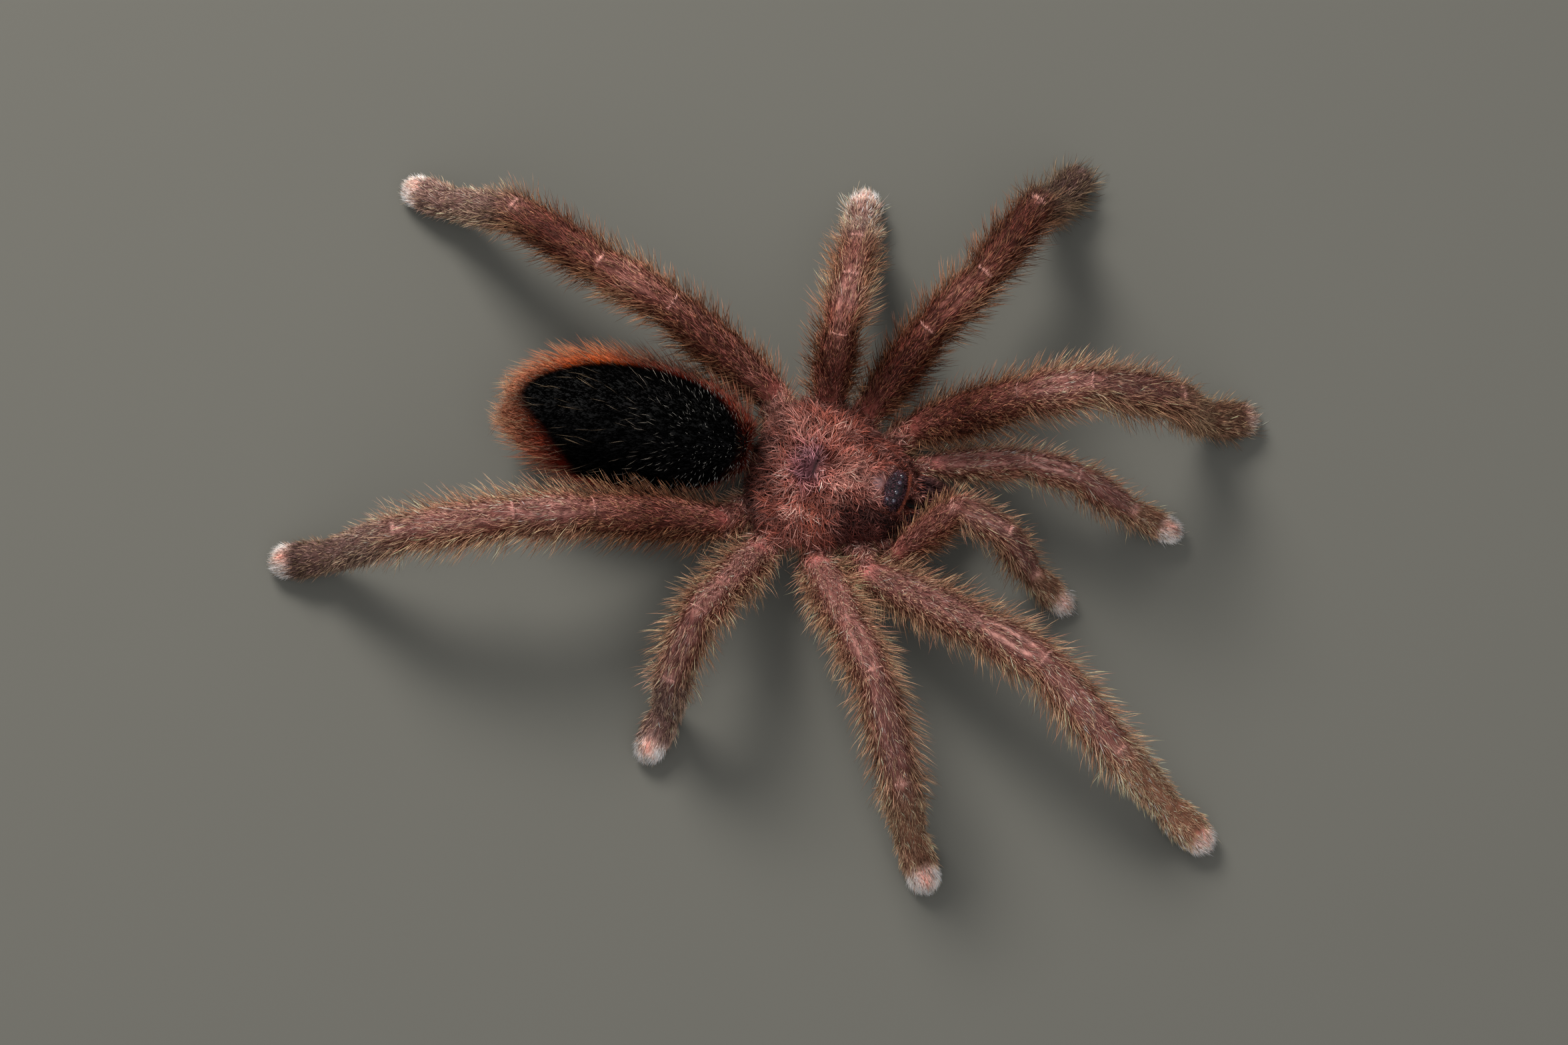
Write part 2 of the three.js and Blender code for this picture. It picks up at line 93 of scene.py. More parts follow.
# Radius at a piece's near end and far end, and how much it swells between them.
PROFILES = {
    "coxa": (1.9, 2.25, 0.1),
    "femur": (2.2, 2.4, 0.4),
    "patella": (2.4, 2.4, 0.25),
    "tibia": (2.4, 2.2, 0.25),
    "metatarsus": (2.15, 1.9, 0.1),
    "tarsus": (1.9, 1.75, 0.15),
}

# The inner end of each coxa, its hip, both on the left and against the pit, and its girth.
COXAE = {
    "palp": ((5.6, 2.4, -6.2), (11.4, 5.8, -4.8), 0.78),
    "leg_1": ((4.6, 2.6, -6.2), (9.0, 9.1, -4.2), 0.98),
    "leg_2": ((1.6, 2.8, -6.3), (3.3, 9.4, -4.8), 0.98),
    "leg_3": ((-1.4, 2.8, -6.3), (-1.9, 9.3, -4.8), 0.98),
    "leg_4": ((-4.0, 2.6, -6.2), (-7.4, 8.1, -4.3), 1.0),
}

# Each limb's heading, the turn added at each piece, each piece's pitch above the level
# (None where the foot has to meet the floor) and the shift of its hip.
STANCE = {
    "left_palp": (14, (0, -14, -2, 0), (14, 2, None, -24), (0.8, 0.1)),
    "left_leg_1": (17, (0, 0, 11, 0, 0), (43, 23, -41, None, -26), (0, 0)),
    "left_leg_2": (64, (0, 0, 10, 0, 0), (38, 0, -8, None, -28), (0, 0)),
    "left_leg_3": (96, (0, 0, 5, 0, 0), (57, -4, -34, None, -27), (0.7, -0.3)),
    "left_leg_4": (166, (0, 0, -7, 9, 0), (33, 0, -13, None, -22), (0, 0)),
    "right_palp": (-41, (0, 46, 13, 0), (46, -22, None, -33), (0, 0)),
    "right_leg_1": (16, (0, 0, 13, -7, 0), (23, 9, -21, None, -22), (0, 0)),
    "right_leg_2": (52, (0, 0, 5, -4, 0), (34.5, 26, -23, None, -20), (0, 0)),
    "right_leg_3": (104, (0, 0, -5, -1, 0), (40.5, 33, -42, None, -14), (-1.2, 0.7)),
    "right_leg_4": (155, (0, 0, 3, 6, 0), (28, 13, -13, None, -22), (-0.7, 0)),
}
LIMBS = tuple(STANCE)
LIMBS_A_SIDE = len(LIMBS) // 2
PALP = 0                      # a palp's place among the limbs of its side
SIDES = ("left", "right")
EYES = ("front_middle", "front_outer", "rear_middle", "rear_outer")

# The paths of the jaw, fang, spinneret and pedicel, sideways for the left one.
JAW_PATH = ((9.9, 2.0, PIT_Z - 3.4), (12.2, 2.0, PIT_Z - 3.7), (13.6, 2.0, PIT_Z - 5.0),
            (13.9, 1.9, PIT_Z - 6.6))
FANG_PATH = ((13.7, 1.8, PIT_Z - 7.2), (13.2, 1.7, PIT_Z - 7.9), (11.9, 1.5, PIT_Z - 8.3),
             (10.2, 1.3, PIT_Z - 8.1))
SPINNERET_PATH = ((1.2, -1.6, 3.6), (1.4, 0.4, 4.1), (1.6, 2.4, 3.6))
PEDICEL_PATH = ((-6.4, 0, PIT_Z - 4.7), (-8.0, 0.4, PIT_Z - 4.4), (-10.4, 0.8, PIT_Z - 3.7))

# The parts that markings and hair are told apart by.
PARTS = ("coxa", "femur", "patella", "tibia", "metatarsus", "tarsus",
         "carapace", "abdomen", "jaw", "sternum", "spinneret", "pedicel")
PART = {name: index for index, name in enumerate(PARTS)}

# ---- hair ----

FLOOR_CLEAR = 0.04            # hair stays this far above the floor
CLAW_CLEAR = 0.15             # and a claw's middle line this far
ROOT_DEPTH = 0.06             # how far a hair's root lies in the skin
LOCK_SIZE = 1.8               # how far apart the coat's locks are
STRAND_SIDES = 3
TUFT_PATCH = 0.003            # the size of a hair's patch on the unwrap
BAR_HAIRS = 40                # on each joint's pale bar
BROW_HAIRS = 320
MOUND_HAIRS = 900

# Which limbs of a side, counted from its palp, share a piece of standing hairs.
SETA_GROUPS = {"front": (0, 1), "middle": (2, 3), "rear": (4,)}

# ---- the view, the floor and the lights, in metres and degrees ----

VIEW_AZIMUTH = 18.0
VIEW_ELEVATION = 70.0
VIEW_DISTANCE = 0.5
VIEW_AIM = (-2.3, -3.95, -0.7)      # in millimetres from the pit's place on the floor
SENSOR_WIDTH = 36.0
LENS = 101.25
NEAR_CLIP = 0.01
FLOOR_REACH = 6.0

# The key light stands over the view's upper left, and the fill light nearly overhead.
KEY_RIGHT, KEY_UP, KEY_HEIGHT = -0.26, 0.46, 0.48
KEY_SIZE = 0.3
KEY_COLOUR = (1.0, 0.97, 0.93)
FILL_PLACE = (0.25, -0.5, 0.78)
FILL_SIZE = 1.0
FILL_COLOUR = (0.97, 0.98, 1.0)
SKY_COLOUR = (0.95, 0.97, 1.0)


# ---- settings that a user would change ----

def linear(red, green, blue):
    """A screen colour, each part from 0 to 255, as the light it stands for."""
    parts = np.array([red, green, blue]) / 255
    curved = ((parts + 0.055) / 1.055) ** 2.4
    return tuple(float(x) for x in np.where(parts <= 0.04045, parts / 12.92, curved))


def length_setting(name, description, default):
    """A setting for a length, whose default is given in millimetres."""
    return FloatProperty(name=name, description=description, default=default * MM,
                         min=0.0, precision=5, unit="LENGTH")


def colour_setting(name, description, default):
    """A setting for a colour, whose default is given as a screen colour."""
    return FloatVectorProperty(name=name, description=description, default=linear(*default),
                               size=3, min=0.0, max=1.0, subtype="COLOR")


def number_setting(name, description, default):
    """A setting for a plain number."""
    return FloatProperty(name=name, description=description, default=default, min=0.0)


def angle_setting(name, description, default):
    """A setting for an angle, whose default is given in degrees."""
    return FloatProperty(name=name, description=description, default=math.radians(default),
                         subtype="ANGLE")


class TarantulaSkinSettings(bpy.types.PropertyGroup):
    """How far the skin lies inside the solids, and how fine it is."""
    leg_depth: length_setting("Leg coat", "Coat depth on the limbs", 0.55)
    foot_depth: length_setting("Foot coat", "Coat depth on the feet", 0.25)
    body_depth: length_setting("Body coat", "Coat depth on the carapace and jaws", 0.45)
    abdomen_depth: length_setting("Abdomen coat", "Coat depth on the abdomen", 1.0)
    grain: length_setting("Grain", "Size of the skin's faces", 0.335)


class TarantulaCoatSettings(bpy.types.PropertyGroup):
    """How long, wide and dense the hairs are."""
    pile_length: length_setting("Pile length", "Short hairs of the limbs", 1.8)
    pile_width: length_setting("Pile width", "Short hairs at their root", 0.095)
    pile_density: number_setting("Pile density", "Short hairs on a square millimetre", 13.0)
    bristle_length: length_setting("Bristle length", "Middling hairs of the limbs", 1.85)
    bristle_width: length_setting("Bristle width", "Middling hairs at their widest", 0.085)
    bristle_density: number_setting("Bristle density",
                                    "Middling hairs on a square millimetre", 11.0)
    seta_length: length_setting("Seta length", "Long hairs of the limbs", 3.7)
    seta_width: length_setting("Seta width", "Long hairs at their widest", 0.068)
    seta_density: number_setting("Seta density", "Long hairs on a square millimetre", 6.2)
    seta_rise: angle_setting("Seta rise", "How far long hairs stand off the skin at their root", 66)
    wool_length: length_setting("Wool length", "Tangled hairs of the carapace", 2.7)
    wool_density: number_setting("Wool density", "Tangled hairs on a square millimetre", 32.0)
    velvet_length: length_setting("Velvet length", "Black pile of the abdomen", 1.0)
    rim_length: length_setting("Rim length", "Long hairs round the abdomen", 2.2)


class TarantulaColours(bpy.types.PropertyGroup):
    """The colours that skin and hair share."""
    leg: colour_setting("Legs", "Pile on the top of femur, patella and tibia", (184, 127, 118))
    leg_side: colour_setting("Leg sides", "Pile on the sides of the limbs", (168, 106, 88))
    foot: colour_setting("Feet", "Pile of metatarsus and tarsus", (200, 148, 122))
    hind_foot: colour_setting("Hind feet", "Pile of the hind feet", (173, 135, 126))
    toe: colour_setting("Toes", "Pads at the tips of the feet", (255, 232, 222))
    toe_heart: colour_setting("Toe hearts", "Bare tips between the pads", (246, 168, 150))
    bare: colour_setting("Bare skin", "Stripes, joints and knobs of the legs", (214, 158, 146))
    seta_root: colour_setting("Hair roots", "Roots of the long hairs", (108, 61, 40))
    seta: colour_setting("Hair tips", "Tips of the long hairs", (190, 164, 122))
    carapace: colour_setting("Carapace", "Wool of the carapace", (158, 90, 78))
    wool_pale: colour_setting("Pale wool", "Pale locks of the carapace", (204, 144, 132))
    copper: colour_setting("Copper wool", "Copper locks of the carapace", (144, 76, 58))
    jaw: colour_setting("Jaws", "Fuzz of the jaws", (119, 76, 70))
    # Head flanks: partly the fur's own dark colour and partly painted shade, most on the right; it
    # also paints shade into the head's furrows.
    flank: colour_setting("Head flanks", "Dark fur beside the head", (63, 27, 23))
    pit: colour_setting("Pit", "Violet fur beside the pit", (160, 110, 120))
    dome: colour_setting("Head dome", "Bare skin behind the eyes", (135, 101, 101))
    face: colour_setting("Face", "Dark fur round the eyes and on the jaws' roots", (44, 28, 36))
    velvet: colour_setting("Velvet", "Top of the abdomen", (3, 3, 3))
    rim: colour_setting("Rim", "Orange fringe of the abdomen", (194, 82, 30))
    rear: colour_setting("Rear", "Fringe behind the abdomen", (188, 112, 82))
    side: colour_setting("Side", "Dark red fringe of the abdomen", (140, 44, 28))
    under: colour_setting("Underside", "Belly and sternum", (83, 52, 43))


class TarantulaStageSettings(bpy.types.PropertyGroup):
    """The floor and the lights."""
    floor: colour_setting("Floor", "The plain floor", (94, 93, 87))
    key_power: number_setting("Key light", "Power of the soft light over the left rear", 6.4)
    fill_power: number_setting("Fill light", "Power of the wide light overhead", 4.1)
    sky_strength: number_setting("Sky", "Strength of the even light all round", 0.45)


# ---- small sums ----

def unit(vectors):
    """Each vector at length one."""
    return vectors / np.maximum(np.linalg.norm(vectors, axis=-1, keepdims=True), 1e-12)


def mix(a, b, share):
    """a where share is 0, b where it is 1, and evenly between."""
    return a + (b - a) * share


def blend(colours, colour, share):
    """The rows of colours, moved towards one colour by each row's share."""
    return mix(colours, np.asarray(colour)[None, :], share[:, None])


def layered(tints, *layers):
    """The rows of tints with one colour after another laid over them, each by its share."""
    for colour, share in layers:
        tints = blend(tints, colour, share)
    return tints


def times(colour, factor):
    """The colour at another strength."""
    return factor * np.asarray(colour)


def smooth(x, low, high):
    """0 below low, 1 above high, and an S curve between."""
    t = np.clip((x - low) / (high - low), 0, 1)
    return t * t * (3 - 2 * t)


def hump(x, middle, width):
    """A bell curve, 1 at its middle and about a third at one width from it."""
    return np.exp(-((x - middle) / width) ** 2)


def frame_origin():
    """Where the pit's place on the floor is in the frame, in millimetres."""
    low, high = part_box("carapace")
    middle = (low + high) / 2 / MM
    return np.array([middle.x - PIT_TO_CARAPACE_MIDDLE, middle.y, 0.0])


ORIGIN = frame_origin()


# ---- the animal's form ----

class LimbPiece(NamedTuple):
    """A straight piece of a limb, between two joints."""
    limb: int             # index into LIMBS
    name: str
    near: np.ndarray
    far: np.ndarray
    girth: float


def limb_kind(limb):
    """The limb's name without its side."""
    return limb.split("_", 1)[1]


def limb_joints(limb):
    """From the coxa's inner end to the tip: each joint lies one length on from the last along
    the limb's heading and pitch. The free pitch has the sine that brings the foot to the floor."""
    yaw, turns, pitches, shift = STANCE[limb]
    kind = limb_kind(limb)
    lengths, girth = LEG_SIZES[kind]["lengths"], LEG_SIZES[kind]["girth"]
    sign = 1 if limb.startswith("left") else -1
    inner, hip, _ = COXAE[kind]
    joints = [np.array([inner[0], sign * inner[1], PIT_Z + inner[2]]),
              np.array([hip[0] + shift[0], sign * (hip[1] + shift[1]), PIT_Z + hip[2]])]
    heading = yaw
    for index, length in enumerate(lengths):
        heading += turns[index]
        if pitches[index] is None:
            last = math.radians(pitches[index + 1])
            last_length = lengths[index + 1]
            fall = last_length * math.sin(last)
            radius = girth * PROFILES["tarsus"][1]
            tip = radius * math.cos(last) + (1 - BLUNT_FROM) * last_length * math.sin(last)
            rise = math.asin((tip - SOLE_PRESS - fall - joints[-1][2]) / length)
        else:
            rise = math.radians(pitches[index])
        flat = math.radians(heading)
        way = np.array([math.cos(rise) * math.cos(flat), sign * math.cos(rise) * math.sin(flat),
                        math.sin(rise)])
        joints.append(joints[-1] + length * way)
    return joints


def all_limb_pieces():
    """Every piece of every limb, from the body outwards."""
    pieces = []
    for index, limb in enumerate(LIMBS):
        kind = limb_kind(limb)
        names = PALP_PIECES if kind == "palp" else LEG_PIECES
        joints = limb_joints(limb)
        for name, near, far in zip(names, joints, joints[1:]):
            girth = COXAE[kind][2] if name == "coxa" else LEG_SIZES[kind]["girth"]
            pieces.append(LimbPiece(index, name, near, far, girth))
    return pieces


LIMB_PIECES = all_limb_pieces()


def outer_radius(piece, u):
    """The solid's radius: from the near to the far one, with half a sine wave's swell."""
    near, far, swell = PROFILES[piece.name]
    return piece.girth * (mix(near, far, u) + swell * np.sin(np.pi * u))


def piece_axes(piece):
    """Along a limb piece, level across it to its left, and upwards across it."""
    way = unit(piece.far - piece.near)
    level = unit(np.cross((0.0, 0.0, 1.0), way))
    return way, level, np.cross(way, level)


def abdomen_axes():
    """Rearwards along the abdomen, and across it."""
    yaw = math.radians(ABDOMEN["yaw"])
    along = np.array([-math.cos(yaw), -math.sin(yaw), 0.0])
    return along, np.array([math.sin(yaw), -math.cos(yaw), 0.0])


def abdomen_middle(u):
    """The centre line: straight rearwards, and falling evenly by the droop."""
    along, _ = abdomen_axes()
    u = np.asarray(u, float)[..., None]
    place = ABDOMEN_MIDDLE + along * (u - 0.5) * ABDOMEN["length"]
    return place + np.array([0, 0, 0.6 * ABDOMEN["droop"]]) * (0.5 - u)


def abdomen_fullness(u):
    """A blunt oval: 4t(1 - t) to the power 0.47, with t a little ahead of u."""
    t = np.clip(u, 0, 1) ** 0.98
    return (4 * t * (1 - t)) ** 0.47


def carapace_half_width(x):
    """A round rear, widest behind the pit, narrowing by an S curve to a squared front."""
    rear, widest, front = CARAPACE["rear"], CARAPACE["widest"], CARAPACE["front"]
    behind = np.clip((widest - x) / (widest - rear), 0, 1)
    rear_width = CARAPACE["half_width"] * (1 - behind ** 2.6) ** (1 / 2.2)
    ahead = smooth(x, widest, front)
    corner = np.clip((x - (front - 2)) / 2, 0, 1)
    front_width = mix(CARAPACE["half_width"], CARAPACE["front_half_width"], ahead)
    return np.where(x < widest, rear_width, front_width * np.sqrt(1 - 0.55 * corner ** 2))


def carapace_top(x):
    """Height along the middle: a fall behind the pit, a dome ahead and a step down in front."""
    rear_fall = 2.5 * (np.maximum(0, -x) / -CARAPACE["rear"]) ** 2.2
    front_fall = 1.7 * (np.maximum(0, x - 6.5) / (CARAPACE["front"] - 6.5)) ** 2
    return PIT_Z - rear_fall + 0.9 * smooth(x, 0, 5) - front_fall


def carapace_relief(x, y):
    """What the skin adds to the plain arch: the pit, the furrow round the head, three furrows
    that run out from the pit on each side, and the dome behind the eyes."""
    side = np.abs(y)
    pit = -0.75 * np.exp(-(x / 0.55) ** 2 - (y / 1.3) ** 2)
    furrow_y = 1.0 + 0.95 * np.clip(x, 0, 6)
    head_furrow = -0.32 * hump(side, furrow_y, 0.7) * smooth(x, -0.5, 1.5) * (1 - smooth(x, 5, 7))
    reach = np.hypot(x, y)
    heading = np.degrees(np.arctan2(side, x))
    spokes = sum(hump(heading, at, 8) for at in (75, 108, 142))
    spoke_furrows = -0.22 * spokes * smooth(reach, 1.2, 2.6) * (1 - smooth(reach, 5.5, 7.5))
    dome = 0.3 * hump(x, 7.2, 1.3) * hump(y, 0, 1.9)
    return pit + head_furrow + spoke_furrows + dome


def smooth_path(points, count):
    """A curve through all the points: a cubic between each two, whose slope at a point is
    half the way between its neighbours. Gives places and directions."""
    points = np.asarray(points, float)
    slopes = np.gradient(points, axis=0)
    t = np.linspace(0, len(points) - 1, count)
    k = np.minimum(t.astype(int), len(points) - 2)
    s = (t - k)[:, None]
    start = (2 * s ** 3 - 3 * s ** 2 + 1) * points[k] + (s ** 3 - 2 * s ** 2 + s) * slopes[k]
    end = (3 * s ** 2 - 2 * s ** 3) * points[k + 1] + (s ** 3 - s ** 2) * slopes[k + 1]
    place = start + end
    return place, unit(np.gradient(place, axis=0))


def other_side(points):
    """The same points on the spider's right."""
    return [(x, -y, z) for x, y, z in points]


def spinneret_path(sign):
    """Out, back and down from the centre line near the abdomen's rear."""
    along, across = abdomen_axes()
    base = abdomen_middle(0.9)
    return [base + sign * out * across + back * along - np.array([0, 0, down])
            for out, back, down in SPINNERET_PATH]


# ---- closed surfaces ----

def loft(rings):
    """Points and faces of a closed surface through rings: a grid of ring by column, quads
    between neighbouring rings, and a fan over each end from the end ring's middle."""
    rows, columns = rings.shape[:2]
    points = np.concatenate([rings.reshape(-1, 3), rings[[0, -1]].mean(axis=1)])
    i = np.arange(columns)
    j = (i + 1) % columns
    row = np.arange(rows - 1)[:, None] * columns
    quads = np.stack([row + i, row + j, row + columns + j, row + columns + i], -1).reshape(-1, 4)
    last = (rows - 1) * columns
    first_fan = np.stack([np.full(columns, rows * columns), j, i], -1)
    last_fan = np.stack([np.full(columns, rows * columns + 1), last + i, last + j], -1)
    return points, quads.tolist() + first_fan.tolist() + last_fan.tolist()


def swept_rings(place, across, above, half_width, half_depth, columns):
    """An ellipse carried along a path: each ring is place + across a cos + above b sin."""
    angle = 2 * np.pi * np.arange(columns) / columns
    side = (half_width[:, None] * np.cos(angle))[..., None] * across[:, None, :]
    rise = (half_depth[:, None] * np.sin(angle))[..., None] * above[:, None, :]
    return place[:, None, :] + side + rise


def capsule(near, far, radius_at, columns=28, stations=26, cap_rows=7):
    """A round bar whose radius follows radius_at(u), closed by half a ball at each end."""
    length = np.linalg.norm(far - near)
    way = unit(far - near)
    level = unit(np.cross((0.0, 0.0, 1.0), way))
    u = np.linspace(0, 1, stations)
    radius = radius_at(u)
    turn = np.linspace(0.12, np.pi / 2, cap_rows, endpoint=False)
    reach = np.concatenate([-radius[0] * np.cos(turn), u * length,
                            length + radius[-1] * np.cos(turn[::-1])])
    girth = np.concatenate([radius[0] * np.sin(turn), radius, radius[-1] * np.sin(turn[::-1])])
    place = near + reach[:, None] * way
    across = np.broadcast_to(level, place.shape)
    above = np.broadcast_to(np.cross(way, level), place.shape)
    return loft(swept_rings(place, across, above, girth, girth, columns))


def bar(path, half_width, half_depth, columns=24, count=24):
    """A bar carried along a curve through the path's points, rounded off at both ends."""
    place, way = smooth_path(path, count)
    level = unit(np.cross((0.0, 1.0, 0.0), way))
    above = np.cross(way, level)
    u = np.linspace(0, 1, count)
    end = np.sqrt(np.clip(1 - (2 * u - 1) ** 10, 0.03, 1))
    width = mix(half_width[0], half_width[1], u) * end
    depth = mix(half_depth[0], half_depth[1], u) * end
    return loft(swept_rings(place, level, above, depth, width, columns))


def ball(place, half_sizes, columns=28, rows=18):
    """An ellipsoid on a grid of longitude by latitude."""
    latitude = np.linspace(-np.pi / 2 + 0.05, np.pi / 2 - 0.05, rows)[:, None]
    longitude = 2 * np.pi * np.arange(columns) / columns
    rings = np.stack([np.cos(latitude) * np.cos(longitude), np.cos(latitude) * np.sin(longitude),
                      np.sin(latitude) * np.ones(columns)], -1)
    return loft(rings * half_sizes + np.asarray(place))


def body_rings(place, across, half_width, up, down, roundness, columns):
    """Rings across the body: half_width cos sideways, and sin to the power roundness upwards,
    by up above the middle and by down below it."""
    angle = 2 * np.pi * np.arange(columns) / columns
    sine = np.sin(angle)
    arch = np.sign(sine) * np.abs(sine) ** roundness
    height = np.where(sine > 0, up[:, None], down[:, None]) * arch
    rings = place[:, None, :] + (half_width[:, None] * np.cos(angle))[..., None] * across
    rings[..., 2] += height
    return rings


def cosine_stations(low, high, count):
    """Steps from low to high, closer at both ends."""
    return mix(low, high, 0.5 - 0.5 * np.cos(np.pi * np.linspace(0.03, 0.97, count)))


def carapace_surface(depth):
    """The arch over its outline, less the coat's depth, with the relief on its upper side."""
    x = cosine_stations(CARAPACE["rear"] + depth, CARAPACE["front"] - depth, 44)
    place = np.stack([x, 0 * x, 0 * x + CARAPACE_RIM_Z], -1)
    width = np.maximum(carapace_half_width(x) - depth, 0.2)
    up = np.maximum(carapace_top(x) - CARAPACE_RIM_Z - depth, 0.2)
    rings = body_rings(place, np.array([0.0, 1.0, 0.0]), width, up, 0 * x + 0.6, 0.85, 56)
    upper = smooth(rings[..., 2], CARAPACE_RIM_Z, CARAPACE_RIM_Z + 0.8)
    rings[..., 2] += upper * carapace_relief(rings[..., 0], rings[..., 1])
    return loft(rings)


def abdomen_surface(depth):
    """A blunt oval about its drooping centre line, less the coat's depth."""
    u = cosine_stations(0.035, 0.965, 44)
    _, across = abdomen_axes()
    full = abdomen_fullness(u)
    wide = np.maximum(ABDOMEN["half_width"] * full - depth, 0.3)
    up = np.maximum(ABDOMEN["up"] * full - depth, 0.3)
    down = np.maximum(ABDOMEN["down"] * full - depth, 0.3)
    return loft(body_rings(abdomen_middle(u), across, wide, up, down, 0.95, 56))


def sternum_surface(depth):
    """A thick shield with rounded edges."""
    u = cosine_stations(0.06, 0.94, 24)
    full = (4 * u * (1 - u)) ** 0.4
    middle = (STERNUM["top"] + STERNUM["bottom"]) / 2
    half = (STERNUM["top"] - STERNUM["bottom"]) / 2
    x = mix(STERNUM["rear"], STERNUM["front"], u)
    place = np.stack([x, 0 * x, 0 * x + middle], -1)
    width = np.maximum(STERNUM["half_width"] * full - depth, 0.3)
    return loft(body_rings(place, np.array([0.0, 1.0, 0.0]), width, 0 * x + half - depth,
                           np.maximum(half * full - depth, 0.3), 0.7, 40))


def limb_surface(piece, leg_depth, foot_depth):
    """A limb piece drawn in at its joints, less the coat's depth, a little fuller under its
    pads, and flat above the sole."""
    tarsus = piece.name == "tarsus"
    depth = foot_depth if piece.name in FOOT_PIECES else leg_depth
    length = np.linalg.norm(piece.far - piece.near)
    far = piece.far
    if tarsus:
        tip_radius = outer_radius(piece, 1.0) - depth
        far = piece.far - unit(piece.far - piece.near) * (0.7 * tip_radius + depth)

    def radius_at(u):
        ends = hump(u * length, 0, 0.8) + (0 if tarsus else hump(u * length, length, 0.8))
        pad = 0.16 * smooth(u, 0.35, 0.7) if tarsus else 0
        return (outer_radius(piece, u) - depth) * (1 - 0.13 * ends) + pad

    points, faces = capsule(piece.near, far, radius_at)
    points[:, 2] = np.maximum(points[:, 2], 0.5 * foot_depth)
    return points, faces


def body_surfaces(settings):
    """Every closed surface of flesh, as points and faces."""
    leg, foot = settings.leg_depth / MM, settings.foot_depth / MM
    body, abdomen = settings.body_depth / MM, settings.abdomen_depth / MM
    surfaces = [carapace_surface(body), abdomen_surface(abdomen), sternum_surface(body)]
    surfaces.append(ball(LIP["place"], np.array(LIP["half_sizes"]) - 0.5 * body))
    surfaces.append(bar(PEDICEL_PATH, (1.1, 1.2), (1.1, 1.2)))
    for sign in (1, -1):
        jaw = JAW_PATH if sign > 0 else other_side(JAW_PATH)
        surfaces.append(bar(jaw, (1.85 - body, 1.75 - body), (2.25 - body, 1.8 - body), count=30))
        surfaces.append(bar(spinneret_path(sign), (0.8, 0.4), (0.8, 0.4)))
    surfaces += [limb_surface(piece, leg, foot) for piece in LIMB_PIECES]
    return surfaces


def horn(path, near, far, columns=20, count=28):
    """A round bar along a curve, thinning from near to far and ending in a point."""
    place, way = smooth_path(path, count)
    level = unit(np.cross((0.0, 1.0, 0.0), way))
    u = np.linspace(0, 1, count)
    radius = mix(near, far, u) * np.sqrt(np.clip(1 - u ** 8, 0.01, 1))
    return loft(swept_rings(place, level, np.cross(way, level), radius, radius, columns))


def claw(piece, sign):
    """A small hook that leaves the end of the foot and bends down."""
    way, level, above = piece_axes(piece)
    base = piece.far - 0.7 * way + 0.2 * above + 0.16 * sign * level
    path = [base, base + 0.5 * way + 0.14 * above, base + 0.85 * way - 0.05 * above,
            base + 0.95 * way - 0.35 * above]
    off_floor = (-np.inf, -np.inf, CLAW_CLEAR)
    return horn([np.maximum(point, off_floor) for point in path], 0.1, 0.035, 10, 12)


# ---- where a point lies on the animal ----

class Anatomy(NamedTuple):
    part: np.ndarray      # index into PARTS
    limb: np.ndarray      # index into LIMBS, or -1 on the body
    along: np.ndarray     # 0 to 1 along the part
    around: np.ndarray    # angle from its top, to the part's left
    lie: np.ndarray       # the way its hair runs
    place: np.ndarray     # the point itself


def limb_nearness(points, piece):
    """Distance from a limb piece's surface, the share along it, and the angle round it."""
    way, level, above = piece_axes(piece)
    length = np.linalg.norm(piece.far - piece.near)
    away = points - piece.near
    u = np.clip(away @ way / length, 0, 1)
    spoke = away - (u * length)[:, None] * way
    distance = np.linalg.norm(spoke, axis=1) - outer_radius(piece, u)
    return distance, u, np.arctan2(spoke @ level, spoke @ above), way


def carapace_nearness(points):
    """How far a point is from the carapace's arch, by its share of the arch's reach."""
    x, y, z = points.T
    inside = np.clip(x, CARAPACE["rear"] + 0.3, CARAPACE["front"])
    height = np.where(z > CARAPACE_RIM_Z, carapace_top(inside) - CARAPACE_RIM_Z, 0.8)
    share = np.hypot(y / carapace_half_width(inside), (z - CARAPACE_RIM_Z) / height)
    return (share - 1) * height + np.abs(x - inside)


def abdomen_place(points):
    """A point's share along the abdomen, and its place across and above the centre line."""
    along, across = abdomen_axes()
    u = (points - ABDOMEN_MIDDLE) @ along / ABDOMEN["length"] + 0.5
    away = points - abdomen_middle(u)
    return u, away @ across, away[:, 2]


def abdomen_nearness(points):
    """How far a point is from the oval, by its share of the oval's reach there."""
    u, wide, high = abdomen_place(points)
    height = np.where(high > 0, ABDOMEN["up"], ABDOMEN["down"])
    full = np.maximum(abdomen_fullness(u), 0.15)
    share = np.hypot(wide / ABDOMEN["half_width"], high / height) / full
    return (share - 1) * height * full + ABDOMEN["length"] * np.abs(u - np.clip(u, 0, 1))


def path_nearness(points, path, radius):
    """Distance from a short bar along a path, with the nearest share, direction and place."""
    stations = 12
    place, way = smooth_path(path, stations)
    away = np.linalg.norm(points[:, None, :] - place[None], axis=2)
    nearest = away.argmin(axis=1)
    distance = away[np.arange(len(points)), nearest] - radius
    return distance, nearest / (stations - 1), way[nearest], place[nearest]


